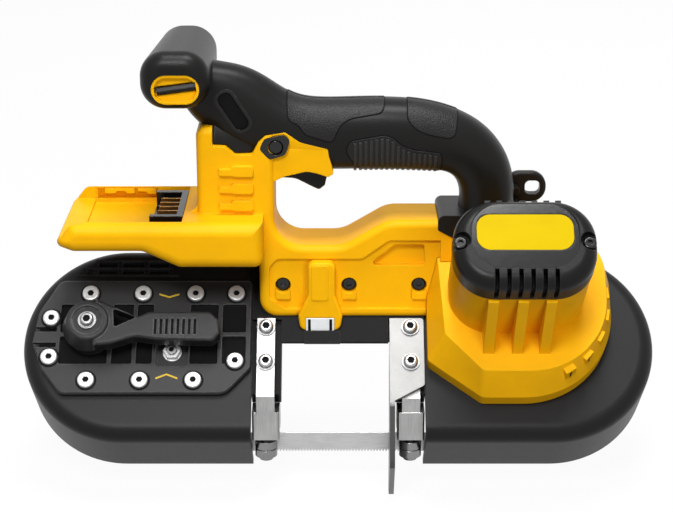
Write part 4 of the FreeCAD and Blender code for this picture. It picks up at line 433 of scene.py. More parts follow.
@dataclass(frozen=True)
class ClearMoulding:
    """Clear lens with a faint ripple."""

    name: str
    colour: Colour
    roughness: float = 0.08
    clearness: float = 0.15
    refraction: float = 1.5
    ripples: float = 700.0
    ripple_stretch: Point3 = (1.0, 0.1, 0.1)
    ripple_depth: float = 0.0001

    def make(self) -> bpy.types.Material:
        """Build the finish's material."""
        shader = Shader(self.name)
        ripple = shader.noise(self.ripples, detail=1.0, vector=shader.stretched(self.ripple_stretch))
        shader.drive("Base Color", shader.blend(ripple, self.colour, WHITE))
        shader.drive("Roughness", self.roughness)
        shader.drive("Transmission Weight", self.clearness)
        shader.drive("IOR", self.refraction)
        shader.bump(ripple, self.ripple_depth)
        return shader.material


def make_finishes() -> Dict[str, bpy.types.Material]:
    """Make each finish of the saw once, by its name."""
    smooth, fine, leather = Grain.SMOOTH, Grain.FINE, Grain.LEATHER
    along_x, along_z, turned = Brush.ALONG_X, Brush.ALONG_Z, Brush.TURNED
    finishes = (
        Moulding("yellow_housing", (0.97, 0.715, 0.05), (1.0, 0.82, 0.13), 0.40, fine, 0.00003, specular=0.08),
        Moulding("yellow_plate", (0.79, 0.675, 0.02), (0.87, 0.76, 0.1), 0.3, smooth, 0.00002, 0.0004, 0.02),
        Moulding("black_grip", (0.075, 0.073, 0.069), (0.22, 0.22, 0.22), 0.34, fine, 0.00004, 0.0008, 0.15),
        Moulding("grip_pad", (0.09, 0.088, 0.084), (0.24, 0.24, 0.24), 0.36, leather, 0.00012, 0.0006, 0.21),
        # A lighter copy of the grip's black for the finger ribs: painted highlight on their ridges.
        Moulding("grip_rib_painted_highlight", (0.15, 0.148, 0.144), (0.28, 0.28, 0.28), 0.34, fine, 0.00004, 0.0006, 0.25),
        Moulding("black_plastic", (0.075, 0.073, 0.07), (0.25, 0.25, 0.25), 0.30, fine, 0.00005, 0.0008, 0.14),
        # The plate's and lever's much lighter edge colours are mostly painted edge highlight.
        Moulding("plate_black", (0.125, 0.125, 0.127), (0.50, 0.50, 0.505), 0.42, fine, 0.00006, 0.0012, 0.24),
        Moulding("lever_black", (0.115, 0.115, 0.117), (0.58, 0.58, 0.585), 0.36, fine, 0.00006, 0.0014, 0.2),
        Moulding("black_frame", (0.075, 0.075, 0.077), (0.32, 0.32, 0.325), 0.40, fine, 0.00007, 0.0014, 0.17),
        Moulding("bar_black", (0.06, 0.06, 0.061), (0.3, 0.3, 0.3), 0.45, fine, 0.00005, 0.0014, 0.07),
        Moulding("gloss_black", (0.04, 0.04, 0.045), (0.16, 0.16, 0.17), 0.12, smooth, 0.00001, 0.0004, 0.4),
        # Near-black for the grip's seams and the lens clips, and for sheets laid in pockets, slots, louvres, the grip's
        # recess and screw sockets as painted shade.
        Moulding("dark_trim_and_painted_shade", (0.045, 0.045, 0.048), (0.06, 0.06, 0.06), 0.7, fine, 0.00003, 0.0002, 0.1),
        Moulding("tyre_rubber", (0.13, 0.13, 0.13), (0.2, 0.2, 0.2), 0.75, leather, 0.0001, 0.0004, 0.2),
        # Darker orange used as painted shade on the far rail's inner face.
        Moulding("yellow_painted_shade", (0.80, 0.50, 0.0), (0.86, 0.58, 0.04), 0.5, specular=0.05),
        Moulding("inner_plastic", (0.23, 0.25, 0.26), (0.35, 0.36, 0.37), 0.5, specular=0.2),
        Moulding("mark_paint", (0.80, 0.66, 0.16), (0.9, 0.8, 0.4), 0.45, fine, 0.00002, 0.0002, 0.2),
        BrushedMetal("cast_alloy", (0.62, 0.63, 0.64), (0.80, 0.81, 0.82), 0.42, turned, 900.0, 0.00006),
        BrushedMetal("blade_steel", (0.74, 0.745, 0.75), (0.88, 0.88, 0.88), 0.36, along_x),
        BrushedMetal("zinc_steel", (0.69, 0.693, 0.695), (0.82, 0.82, 0.82), 0.28, turned, 1500.0, 0.00001),
        BrushedMetal("screw_zinc", (0.80, 0.802, 0.803), (0.9, 0.9, 0.9), 0.30, turned, 1500.0, 0.00001,
                     metallic=0.5),
        # The work stop's faces towards the front get a darker colour as painted shade.
        BrushedMetal("stop_steel", (0.42, 0.42, 0.417), (0.58, 0.58, 0.575), 0.42, turned, 2200.0,
                     front_face_painted_shade=(0.30, 0.30, 0.298)),
        BrushedMetal("guide_steel", (0.60, 0.602, 0.60), (0.80, 0.80, 0.795), 0.34, along_z, 1500.0),
        BrushedMetal("bearing_steel", (0.44, 0.44, 0.445), (0.66, 0.66, 0.66), 0.3, turned, 1800.0),
        BrushedMetal("contact_brass", (0.52, 0.36, 0.17), (0.70, 0.52, 0.28), 0.34, along_x),
        ClearMoulding("clear_lens", (0.93, 0.95, 0.97)),
    )
    return {finish.name: finish.make() for finish in finishes}


# The CAD nodes by the finish that they get
FINISH_OF_NODES: Dict[str, Sequence[str]] = {
    "black_grip": ("front_grip", "rear_grip"),
    "black_plastic": ("trigger", "hang_hook", "hex_key", "hook_pin", "motor_cap"),
    "gloss_black": ("lock_off_button", "housing_screws", "terminal_block", "cap_screws"),
    "yellow_housing": ("key_holder", "front_housing", "rear_housing", "motor_housing"),
    "contact_brass": ("terminal_blades",),
    "inner_plastic": ("trigger_switch", "control_module", "led_board", "motor_fan"),
    "clear_lens": ("led_lens",),
    "yellow_plate": ("cap_plate",),
    "cast_alloy": ("drive_wheel", "idler_wheel", "tension_carriage"),
    "tyre_rubber": ("drive_tyre", "idler_tyre"),
    "zinc_steel": ("drive_wheel_bolt", "guide_bolts"),
    "bearing_steel": (
        "drive_shaft", "drive_gear", "relay_gear", "motor_stator", "motor_rotor", "motor_bearings", "drive_bearings",
        "idler_bearing", "idler_axle", "lever_cam", "lever_bolt", "tracking_screw", "roller_pins",
        "left_front_roller", "left_rear_roller", "left_backup_bearing",
        "right_front_roller", "right_rear_roller", "right_backup_bearing",
    ),
    "plate_black": ("tension_plate",),
    "lever_black": ("tension_lever",),
    "screw_zinc": ("plate_screws", "tracking_nut"),
    "black_frame": ("idler_guard", "drive_guard"),
    "bar_black": ("main_frame",),
    "guide_steel": ("left_guide", "right_guide"),
    "stop_steel": ("work_stop",),
}


@dataclass
class Workshop:
    """Turns bmeshes in millimetres into pieces that ride on the frame."""

    frame: Dict[str, object]
    finishes: Dict[str, bpy.types.Material]
    count: int = 0

    def node_mesh(self, node: str, grow: float = 0.0) -> BMesh:
        """Merged copy of a CAD node's mesh.

        Args:
            node: The node's name.
            grow: How far to push the skin outwards.

        Returns:
            The copy.
        """
        made = bmesh.new()
        made.from_mesh(self.frame["nodes"][node].data)
        bmesh.ops.scale(made, vec=Vector((1 / MM,) * 3), verts=made.verts)
        bmesh.ops.remove_doubles(made, verts=made.verts, dist=MERGE_GAP)
        made.normal_update()
        if grow:
            for vert in made.verts:
                vert.co += vert.normal * grow
        return made

    def scratch(self, made: BMesh, name: str) -> bpy.types.Object:
        """Put a bmesh in millimetres on a plain object in metres, and free it."""
        bmesh.ops.scale(made, vec=Vector((MM,) * 3), verts=made.verts)
        return as_object(made, name)

    def carve(self, base: BMesh, tool: BMesh, operation: str) -> BMesh:
        """Combine two closed meshes.

        Args:
            base: The mesh to change, which is freed.
            tool: The mesh to cut with, which is freed.
            operation: INTERSECT or DIFFERENCE.

        Returns:
            The result.
        """
        item = self.scratch(base, "carve_base")
        cutter = self.scratch(tool, "carve_tool")
        step = item.modifiers.new("carve", "BOOLEAN")
        step.operation = operation
        step.object = cutter
        step.solver = "EXACT"
        bpy.context.view_layer.update()
        mesh = bpy.data.meshes.new_from_object(item.evaluated_get(bpy.context.evaluated_depsgraph_get()))
        made = bmesh.new()
        made.from_mesh(mesh)
        bmesh.ops.scale(made, vec=Vector((1 / MM,) * 3), verts=made.verts)
        bpy.data.objects.remove(item)
        bpy.data.objects.remove(cutter)
        bpy.data.meshes.remove(mesh)
        return made

    def piece(self, made: BMesh, name: str, finish: str, body: Body = Body.FRAME, slot: str = "",
              stands_for: Sequence[str] = ()) -> bpy.types.Object:
        """Finish a mesh as a piece of the saw.

        Args:
            made: The mesh in millimetres, which is freed.
            name: The piece's name.
            finish: Name of its finish.
            body: The body that it moves with.
            slot: The record's material slot, where it isn't the finish's name; not used.
            stands_for: CAD nodes that it replaces.

        Returns:
            The piece.
        """
        limit = math.radians(SHARP_DEGREES)
        for face in made.faces:
            face.smooth = True
        for edge in made.edges:
            edge.smooth = len(edge.link_faces) == 2 and edge.calc_face_angle(0.0) < limit
        item = self.scratch(made, name)
        item.data.materials.append(self.finishes[finish])
        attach(item, body.value)
        if stands_for:
            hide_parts(*stands_for)
        self.count += 1
        log.info("%s: %d faces, on %s", name, len(item.data.polygons), body.value)
        return item

    def paint(self) -> None:
        """Give the CAD nodes their finishes."""
        for finish, nodes in FINISH_OF_NODES.items():
            for node in nodes:
                item = self.frame["nodes"][node]
                item.data.materials.clear()
                item.data.materials.append(self.finishes[finish])
                log.info("%s: painted %s", node, finish)


def prism(corners: Iterable[Point3], sweep: Point3) -> BMesh:
    """Prism of a flat outline.

    Args:
        corners: Corners in order.
        sweep: The way from its first face to its second.

    Returns:
        The closed prism.
    """
    made = bmesh.new()
    base = made.faces.new([made.verts.new(corner) for corner in corners])
    swept = bmesh.ops.extrude_face_region(made, geom=[base])
    moved = [g for g in swept["geom"] if isinstance(g, bmesh.types.BMVert)]
    bmesh.ops.translate(made, vec=Vector(sweep), verts=moved)
    bmesh.ops.recalc_face_normals(made, faces=made.faces)
    return made


def extruded(outline: Outline, low: float, high: float) -> BMesh:
    """Prism of an outline in X and Z, swept along Y from low to high."""
    return prism([(x, low, z) for x, z in outline], (0.0, high - low, 0.0))


def raised(outline: Outline, low: float, high: float) -> BMesh:
    """Prism of an outline on the wheels' plane, from a low to a high level over it."""
    made = prism([(x, u, low) for x, u in outline], (0.0, 0.0, high - low))
    bmesh.ops.transform(made, matrix=WHEELS.matrix(), verts=made.verts)
    return made


def raised_all(outlines: Iterable[Outline], low: float, high: float) -> BMesh:
    """Prisms of several outlines on the wheels' plane, as one mesh."""
    return joined(raised(outline, low, high) for outline in outlines)


def washer(middle: Point2, inner: float, outer: float, low: float, high: float) -> BMesh:
    """Flat ring on the wheels' plane.

    Args:
        middle: Its middle.
        inner: Radius of its hole.
        outer: Its radius.
        low: Its lower level over the plane.
        high: Its upper level over the plane.

    Returns:
        The closed ring, in the saw's frame.
    """
    made = bmesh.new()
    rows = []
    for radius, level in ((inner, low), (outer, low), (outer, high), (inner, high)):
        rows.append([made.verts.new((x, u, level)) for x, u in circle(middle, radius, RING_CORNERS)])
    for row, above in zip(rows, rows[1:] + rows[:1]):
        for i in range(RING_CORNERS):
            j = (i + 1) % RING_CORNERS
            made.faces.new((row[i], row[j], above[j], above[i]))
    bmesh.ops.transform(made, matrix=WHEELS.matrix(), verts=made.verts)
    bmesh.ops.recalc_face_normals(made, faces=made.faces)
    return made


def circle(middle: Point2, radius: float, corners: int) -> List[Point2]:
    """Corners of a regular polygon."""
    turns = [2 * math.pi * i / corners for i in range(corners)]
    return [(middle[0] + radius * math.cos(t), middle[1] + radius * math.sin(t)) for t in turns]


def oblong(left: float, right: float, low: float, high: float) -> List[Point2]:
    """Corners of a rectangle."""
    return [(left, low), (right, low), (right, high), (left, high)]


def pockets(columns: Iterable[Point2], rows: Sequence[Point2]) -> List[List[Point2]]:
    """Rectangles a hair smaller than the pockets where columns and rows cross."""
    return [oblong(left + HAIR, right - HAIR, low + HAIR, high - HAIR) for left, right in columns for low, high in rows]


def over(level: float, rise: Point2) -> Point2:
    """Two levels, given as rises over a level."""
    return (level + rise[0], level + rise[1])


def joined(parts: Iterable[BMesh]) -> BMesh:
    """One mesh of several, which are freed."""
    made = bmesh.new()
    for part in parts:
        mesh = bpy.data.meshes.new("joined")
        part.to_mesh(mesh)
        part.free()
        made.from_mesh(mesh)
        bpy.data.meshes.remove(mesh)
    return made


def rounded_outline(corners: Outline, radius: float, steps: int = 4) -> List[Point2]:
    """Outline with its corners cut back along a curve.

    Args:
        corners: Corners in order.
        radius: How far the rounding starts from a corner.
        steps: Pieces per corner.

    Returns:
        The rounded outline.
    """
    most_of_side = 0.45
    made: List[Point2] = []
    count = len(corners)
    for index, corner in enumerate(corners):
        here = Vector(corner)
        back = Vector(corners[index - 1]) - here
        ahead = Vector(corners[(index + 1) % count]) - here
        reach = min(radius, back.length * most_of_side, ahead.length * most_of_side)
        start = here + back.normalized() * reach
        end = here + ahead.normalized() * reach
        for step in range(steps + 1):
            t = step / steps
            point = start * (1 - t) ** 2 + here * 2 * t * (1 - t) + end * t ** 2
            made.append((point.x, point.y))
    return made


def swollen(corners: Outline, by: float) -> List[Point2]:
    """Outline pushed outwards.

    Args:
        corners: Corners in order.
        by: Distance.

    Returns:
        The larger outline.
    """
    least_lean = 0.5
    points = [Vector(c) for c in corners]
    count = len(points)
    area = sum(points[i - 1].x * points[i].y - points[i].x * points[i - 1].y for i in range(count))
    side = 1.0 if area > 0 else -1.0
    made: List[Point2] = []
    for index, here in enumerate(points):
        back = (here - points[index - 1]).normalized()
        ahead = (points[(index + 1) % count] - here).normalized()
        normal = Vector((back.y + ahead.y, -back.x - ahead.x)).normalized() * side
        lean = max(least_lean, normal.dot(Vector((back.y, -back.x)) * side))
        moved = here + normal * (by / lean)
        made.append((moved.x, moved.y))
    return made


def mirrored(made: BMesh) -> BMesh:
    """Copy of a mesh mirrored at the handle's parting plane."""
    copy = made.copy()
    bmesh.ops.scale(copy, vec=Vector((1.0, -1.0, 1.0)), verts=copy.verts)
    bmesh.ops.translate(copy, vec=Vector((0.0, 2 * HANDLE_Y, 0.0)), verts=copy.verts)
    bmesh.ops.reverse_faces(copy, faces=copy.faces)
    return copy


def on_side(made: BMesh, half: int) -> BMesh:
    """A mesh of the front half as it is for half 1, or mirrored to the rear for half -1."""
    return made if half > 0 else mirrored(made)


@dataclass
class Handle:
    """Pads, ribs, recess and foot on each side of the closed grip."""

    shop: Workshop
    top_pad: Points = (
        (-59.3, 213.0), (-2.2, 213.0), (-4.4, 200.2), (-23.3, 197.2), (-29.0, 193.7), (-33.6, 183.5),
        (-49.1, 188.3), (-52.5, 193.7), (-58.8, 196.6),
    )
    heel_pad: Points = (
        (10.4, 213.0), (38.6, 213.0), (39.2, 200.2), (37.2, 187.7), (34.3, 185.9), (21.6, 188.3), (14.7, 191.3),
        (10.0, 196.6),
    )
    finger_pad: Points = (
        (-25.5, 178.1), (-23.2, 184.1), (-3.1, 187.7), (1.5, 185.9), (6.8, 181.1), (13.1, 178.7), (28.8, 176.9),
        (30.0, 172.7), (28.9, 163.0), (-16.2, 163.0), (-22.0, 172.1),
    )
    finger_pad_top: int = 8
    pad_corner: float = 3.0
    pad_rise: float = 0.45
    seam_width: float = 0.7
    seam_rise: float = 0.06
    hollow: Points = ((-100.5, 209.0), (-93.0, 213.5), (-80.0, 193.5), (-87.5, 189.0))
    hollow_corner: float = 4.0
    hollow_bed: float = 36.95
    shade_sheet_depth: float = 0.6
    shade_sheet_gap: float = 0.2
    rim_width: float = 2.0
    rim_gap: float = 0.3
    rim_rise: float = 0.5
    skirt: Points = (
        (-102.3, 182.6), (-101.5, 181.75), (-95.6, 181.3), (-94.6, 180.9), (-89.9, 177.0), (-88.7, 176.6),
        (-81.0, 176.6), (-79.5, 177.6), (-76.5, 183.4), (-72.8, 187.2), (-76.0, 189.5), (-102.3, 193.0),
    )
    # Y of the foot's sloping face: at the origin, per X and per Z
    skirt_face: Point3 = (-18.56, 0.1206, 0.36)
    skirt_back: float = 46.0
    skirt_depth: float = 13.0
    skirt_edge: float = 1.1
    reach: Point2 = (10.0, HANDLE_Y - 1.0)
    rib_span: Point2 = (-21.0, 28.0)
    rib_pitch: float = 3.1
    rib_width: float = 1.7
    rib_rise: float = 1.0
    rib_foot: float = 163.5
    rib_lowest_top: float = 165.0
    rib_margin: float = 1.6

    def build(self) -> None:
        """Make each side's pads with their seams, the finger ribs in a lighter finish as painted highlight, the recess
        with a dark sheet of painted shade on its floor, and the foot.
        """
        pads = (("top_pad", self.top_pad), ("heel_pad", self.heel_pad), ("finger_pad", self.finger_pad))
        hollow = rounded_outline(self.hollow, self.hollow_corner)
        for side, node, half in (("front", "front_grip", 1), ("rear", "rear_grip", -1)):
            for name, outline in pads:
                shape = rounded_outline(outline, self.pad_corner)
                seam = self.cut(node, half, [swollen(shape, self.seam_width)], self.seam_rise)
                self.shop.piece(seam, "%s_%s_seam" % (side, name), "dark_trim_and_painted_shade", slot="black_grip")
                pad = self.cut(node, half, [shape], self.pad_rise)
                self.shop.piece(pad, "%s_%s" % (side, name), "grip_pad", slot="black_grip")
            # The finger ribs take a lighter copy of the grip's black: painted highlight on their ridges.
            ribs = self.cut(node, half, self.ribs(), self.rib_rise)
            self.shop.piece(ribs, "%s_finger_ribs" % side, "grip_rib_painted_highlight", slot="black_grip")
            rim = self.cut(node, half, [swollen(hollow, self.rim_width)], self.rim_rise)
            rim = self.shop.carve(rim, self.through(swollen(hollow, self.rim_gap), half), "DIFFERENCE")
            self.shop.piece(rim, "%s_hollow_rim" % side, "grip_pad", slot="black_grip")
            # Dark sheet on the recess floor: painted shade in the grip's recess.
            shade_sheet = extruded(swollen(hollow, -self.shade_sheet_gap), self.hollow_bed - self.shade_sheet_depth, self.hollow_bed)
            self.shop.piece(on_side(shade_sheet, half), "%s_hollow_bed" % side, "dark_trim_and_painted_shade", slot="black_grip")
            self.shop.piece(on_side(self.foot(), half), "%s_grip_foot" % side, "black_grip")

    def foot(self) -> BMesh:
        """Foot of the grip, which fills the housing's opening up to its edge.

        Returns:
            The foot of the front half, with a sloping face and a rounded edge.
        """
        made = extruded(self.skirt, self.skirt_back - self.skirt_depth, self.skirt_back)
        base, along, up = self.skirt_face
        face = [v for v in made.verts if v.co.y < self.skirt_back - self.skirt_depth / 2]
        for vert in face:
            vert.co.y = base + along * vert.co.x + up * vert.co.z
        rim = [e for e in made.edges if all(v in face for v in e.verts)]
        bmesh.ops.bevel(made, geom=rim, offset=self.skirt_edge, offset_type="OFFSET", segments=3, profile=0.5,
                        affect="EDGES", material=-1)
        return made

    def cut(self, node: str, half: int, outlines: Sequence[Outline], grow: float) -> BMesh:
        """Skin of a grip half inside some outlines.

        Args:
            node: The grip half's node.
            half: 1 for the front half and -1 for the rear half.
            outlines: Outlines in X and Z.
            grow: How far the skin stands proud.

        Returns:
            The pad.
        """
        tool = joined(self.through(outline, half) for outline in outlines)
        return self.shop.carve(self.shop.node_mesh(node, grow), tool, "INTERSECT")

    def through(self, outline: Outline, half: int) -> BMesh:
        """Prism of an outline in X and Z through one side of the handle."""
        return on_side(extruded(outline, *self.reach), half)

    def ribs(self) -> List[List[Point2]]:
        """Outlines of the upright strips inside the finger pad."""
        made: List[List[Point2]] = []
        x, end = self.rib_span
        while x < end:
            top = self.top_edge(x + self.rib_width / 2) - self.rib_margin
            if top > self.rib_lowest_top:
                made.append(oblong(x, x + self.rib_width, self.rib_foot, top))
            x += self.rib_pitch
        return made

    def top_edge(self, x: float) -> float:
        """Height of the finger pad's upper edge at a place along the saw."""
        upper = self.finger_pad[:self.finger_pad_top]
        for (x0, z0), (x1, z1) in zip(upper, upper[1:]):
            if x0 <= x <= x1:
                return z0 + (z1 - z0) * (x - x0) / (x1 - x0)
        return 0.0


@dataclass
class Housing:
    """Details of the yellow housing: lock-off bezels, battery rail and work light."""

    shop: Workshop
    bezel: Points = (
        (-75.5, 180.0), (-72.5, 186.4), (-60.8, 188.6), (-57.6, 185.2), (-60.4, 176.6), (-69.6, 173.6),
    )
    bezel_corner: float = 2.0
    bezel_face: float = 30.85
    bezel_depth: float = 3.55
    button: Point2 = (-66.0, 181.0)
    button_hole: float = 4.5
    hole_corners: int = 32
    hole_reach: Point2 = (-1.0, 4.0)
    relief: Tuple[Points, ...] = (
        ((-172.0, 137.0), (-166.0, 137.0), (-164.6, 138.4), (-160.0, 138.4), (-158.6, 137.0), (-154.0, 137.0),
         (-154.0, 140.0), (-172.0, 140.0)),
        ((-152.0, 138.2), (-147.0, 138.2), (-145.6, 136.6), (-141.0, 136.6), (-141.0, 140.0), (-152.0, 140.0)),
    )
    relief_reach: Point2 = (-1.1, 0.1)
    rail_face: float = 84.0
    rail_shade_sheet: Tuple[float, float, float, float] = (-176.5, -139.8, 136.1, 140.6)
    rail_shade_sheet_reach: Point2 = (-0.15, 0.2)
    lens_x: float = -40.7
    prong: float = 6.3
    clip_half: float = 0.8
    clip_rise: Point2 = (70.4, 77.4)
    clip_depth: Point2 = (24.5, 25.0)

    def build(self) -> None:
        """Make the lock-off bezels, a darker orange sheet behind the far rail's relief as painted shade, the relief
        itself and the clips of the lens.
        """
        outline = rounded_outline(self.bezel, self.bezel_corner)
        front = extruded(outline, self.bezel_face, self.bezel_face + self.bezel_depth)
        hole = extruded(circle(self.button, self.button_hole, self.hole_corners),
                        *over(self.bezel_face, self.hole_reach))
        front = self.shop.carve(front, hole, "DIFFERENCE")
        rear = mirrored(front)
        self.shop.piece(front, "front_lock_bezel", "gloss_black")
        self.shop.piece(rear, "rear_lock_bezel", "gloss_black")
        # Darker orange sheet on the far rail's inner face: painted shade behind the relief.
        shade_sheet = extruded(oblong(*self.rail_shade_sheet), *over(self.rail_face, self.rail_shade_sheet_reach))
        self.shop.piece(shade_sheet, "far_rail_painted_shade", "yellow_painted_shade", slot="yellow_housing")
        relief = joined(extruded(corners, *over(self.rail_face, self.relief_reach)) for corners in self.relief)
        self.shop.piece(relief, "far_rail_relief", "yellow_housing")
        clips = [oblong(x - self.clip_half, x + self.clip_half, *self.clip_rise)
                 for x in (self.lens_x - self.prong, self.lens_x + self.prong)]
        clips = joined(extruded(clip, *self.clip_depth) for clip in clips)
        self.shop.piece(clips, "lens_clips", "dark_trim_and_painted_shade", slot="gloss_black")


@dataclass
class Drive:
    """Details of the motor's housing and cap."""

    shop: Workshop
    middle: Point2 = (103.5, 23.3)
    panel: Point2 = (59.6, 39.6)
    panel_corner: float = 16.5
    panel_levels: Point2 = (122.75, 122.95)
    label: Point2 = (54.4, 22.4)
    label_corner: float = 8.0
    label_rise: float = 2.6
    window_levels: Point2 = (121.8, 123.8)
    corner_steps: int = 8
    drum: Point2 = (106.5, 14.5)
    drum_radius: float = 54.5
    drum_top: float = 58.0
    vents: int = 6
    vent_start: float = -58.0
    vent_step: float = 16.0
    vent_reach: Point2 = (-8.0, -3.0)
    vent_half: float = 0.85
    vent_rise: Point2 = (-12.4, -5.05)
    slots: int = 6
    slot_pitch: float = 6.6
    slot_half: float = 1.15
    slot_depth: Point2 = (-5.3, 2.9)
    slot_levels: Point2 = (108.05, 115.5)
    tooth_half: float = 1.6
    teeth_rise: Point2 = (45.8, 48.2)
    teeth_levels: Point2 = (108.5, 117.5)

    def build(self) -> None:
        """Make the glossy field round the cap's plate, dark sheets of painted shade in the slots of the vent tabs and
        the cap, and the cap's teeth.
        """
        sheet = raised(self.field_outline(self.panel, 0.0, self.panel_corner), *self.panel_levels)
        window = raised(self.field_outline(self.label, self.label_rise, self.label_corner), *self.window_levels)
        self.shop.piece(self.shop.carve(sheet, window, "DIFFERENCE"), "cap_field", "gloss_black")
        # Dark sheets in the vent tabs' slots and behind the cap's slots: painted shade.
        slots = raised_all([self.vent(i) for i in range(self.vents)], *over(self.drum_top, self.vent_rise))
        self.shop.piece(slots, "vent_slot_painted_shade", "dark_trim_and_painted_shade", slot="yellow_housing")
        shade_sheets = self.comb(self.slots, self.slot_half, self.slot_depth, self.slot_levels)
        self.shop.piece(shade_sheets, "cap_slot_painted_shade", "dark_trim_and_painted_shade", slot="black_plastic")
        teeth = self.comb(self.slots + 1, self.tooth_half, self.teeth_rise, self.teeth_levels)
        self.shop.piece(teeth, "cap_teeth", "black_plastic")

    def field_outline(self, size: Point2, rise: float, corner: float) -> List[Point2]:
        """Rounded rectangle of a size on the cap's face, at a rise over its middle."""
        x, u = self.middle[0], self.middle[1] + rise
        half_x, half_u = size[0] / 2, size[1] / 2
        return rounded_outline(oblong(x - half_x, x + half_x, u - half_u, u + half_u), corner, self.corner_steps)

    def comb(self, count: int, half: float, rise: Point2, levels: Point2) -> BMesh:
        """Row of small blocks across the cap, at the pitch of its air slots."""
        places = [self.middle[0] + self.slot_pitch * (i - (count - 1) / 2) for i in range(count)]
        return raised_all([oblong(x - half, x + half, *rise) for x in places], *levels)

    def vent(self, index: int) -> List[Point2]:
        """Outline of the dark sheet of painted shade in a vent tab's slot, counted from the lowest."""
        turn = Matrix.Rotation(math.radians(self.vent_start + self.vent_step * index), 2)
        corners = oblong(*over(self.drum_radius, self.vent_reach), -self.vent_half, self.vent_half)
        return [tuple(turn @ Vector(c) + Vector(self.drum)) for c in corners]


@dataclass
class TensionSide:
    """Details of the plate over the tension mechanism, of its lever and screws, and the spring."""

    shop: Workshop
    face: float = 34.0
    marks: Tuple[Tuple[Point2, Point2, Point2], ...] = (
        ((-106.7, 28.2), (-100.7, 26.3), (-94.8, 28.2)),
        ((-106.9, -25.8), (-100.5, -23.2), (-94.0, -25.8)),
    )
    mark_width: float = 1.1
    mark_rise: Point2 = (-0.1, 0.15)
    columns: Points = (
        (-164.5, -136.0), (-133.5, -121.5), (-119.0, -109.5), (-87.5, -71.0), (-68.5, -54.5),
    )
    rows: Points = ((-16.5, 1.0), (3.5, 21.5))
    slots: Points = ((-6.0, -3.0), (4.0, 7.0))
    slot_reach: Point2 = (-177.0, -166.6)
    floor: float = 31.4
    shade_sheet_rise: Point2 = (-0.05, 0.15)
    screws: Points = (
        (-147.5, 28.3), (-116.2, 28.3), (-84.9, 28.3), (-60.6, 28.3), (-170.0, 12.4), (-170.0, -12.4),
        (-147.5, -27.0), (-116.2, -27.0), (-84.9, -27.0), (-60.6, -14.9),
    )
    shadow_ring_radii: Point2 = (5.05, 6.2)
    shadow_ring_rise: Point2 = (-0.05, 0.1)
    socket: float = 1.95
    socket_rise: Point2 = (0.85, 1.4)
    grooves: int = 8
    groove_start: float = -107.5
    groove_pitch: float = 3.3
    groove_width: Point2 = (0.05, 1.55)
    groove_reach: Point2 = (-4.4, 5.4)
    groove_levels: Point2 = (48.55, 48.75)
    pivot: Point2 = (-146.5, 4.0)
    pivot_socket: float = 2.2
    pivot_levels: Point2 = (52.95, 53.5)
    tracking: Point2 = (-97.8, -8.7)
    tracking_socket: float = 1.6
    tracking_levels: Point2 = (35.5, 36.6)
    travel: float = 9.0

    def build(self) -> None:
        """Make the plate's marks; dark sheets of painted shade in its pockets, slots and screw sockets, and painted
        shadow rings round its screw heads; painted shade in the lever's grooves and bolt socket and in the tracking
        screw's socket; and the spring.
        """
        self.direction_marks()
        # Dark sheets on the floors of the plate's pockets and slots: painted shade.
        shade_sheets = pockets(self.columns, self.rows)
        shade_sheets += [oblong(*self.slot_reach, low + HAIR, high - HAIR) for low, high in self.slots]
        made = raised_all(shade_sheets, *over(self.floor, self.shade_sheet_rise))
        self.shop.piece(made, "plate_pocket_painted_shade", "dark_trim_and_painted_shade", slot="black_plastic")
        # Dark rings round the screw heads: painted shadow.
        rings = joined(washer(place, *self.shadow_ring_radii, *over(self.face, self.shadow_ring_rise)) for place in self.screws)
        self.shop.piece(rings, "plate_screw_painted_shadow_rings", "dark_trim_and_painted_shade", slot="black_plastic")
        # Dark hexagons in the screw heads' sockets: painted shade.
        sockets = [circle(place, self.socket, HEXAGON) for place in self.screws]
        made = raised_all(sockets, *over(self.face, self.socket_rise))
        self.shop.piece(made, "plate_screw_socket_painted_shade", "dark_trim_and_painted_shade", slot="zinc_steel")
        # Dark sheets on the floors of the lever's grooves: painted shade.
        starts = [self.groove_start + self.groove_pitch * i for i in range(self.grooves)]
        near, far = self.groove_width
        made = raised_all([oblong(x + near, x + far, *self.groove_reach) for x in starts], *self.groove_levels)
        self.shop.piece(made, "lever_groove_painted_shade", "dark_trim_and_painted_shade", Body.LEVER, "black_plastic")
        # Dark hexagons in the lever bolt's and tracking screw's sockets: painted shade.
        socket = raised(circle(self.pivot, self.pivot_socket, HEXAGON), *self.pivot_levels)
        self.shop.piece(socket, "lever_bolt_socket_painted_shade", "dark_trim_and_painted_shade", Body.LEVER, "zinc_steel")
        socket = raised(circle(self.tracking, self.tracking_socket, HEXAGON), *self.tracking_levels)
        self.shop.piece(socket, "tracking_screw_socket_painted_shade", "dark_trim_and_painted_shade", Body.TRACKING, "zinc_steel")
        self.coil()

    def direction_marks(self) -> None:
        """Make the blade direction marks."""
        half = self.mark_width / 2
        for index, corners in enumerate(self.marks):
            upper = [(x, u + half) for x, u in corners]
            lower = [(x, u - half) for x, u in reversed(corners)]
            made = raised(upper + lower, *over(self.face, self.mark_rise))
            self.shop.piece(made, "plate_mark_%d" % (index + 1), "mark_paint", slot="yellow_plate")

    def coil(self) -> None:
        """Make the spring as a copy of the CAD node that it stands for, with a mesh of its own."""
        item = self.shop.piece(self.shop.node_mesh("tension_spring"), "tension_coil", "bearing_steel",
                               stands_for=("tension_spring",))
        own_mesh(item)


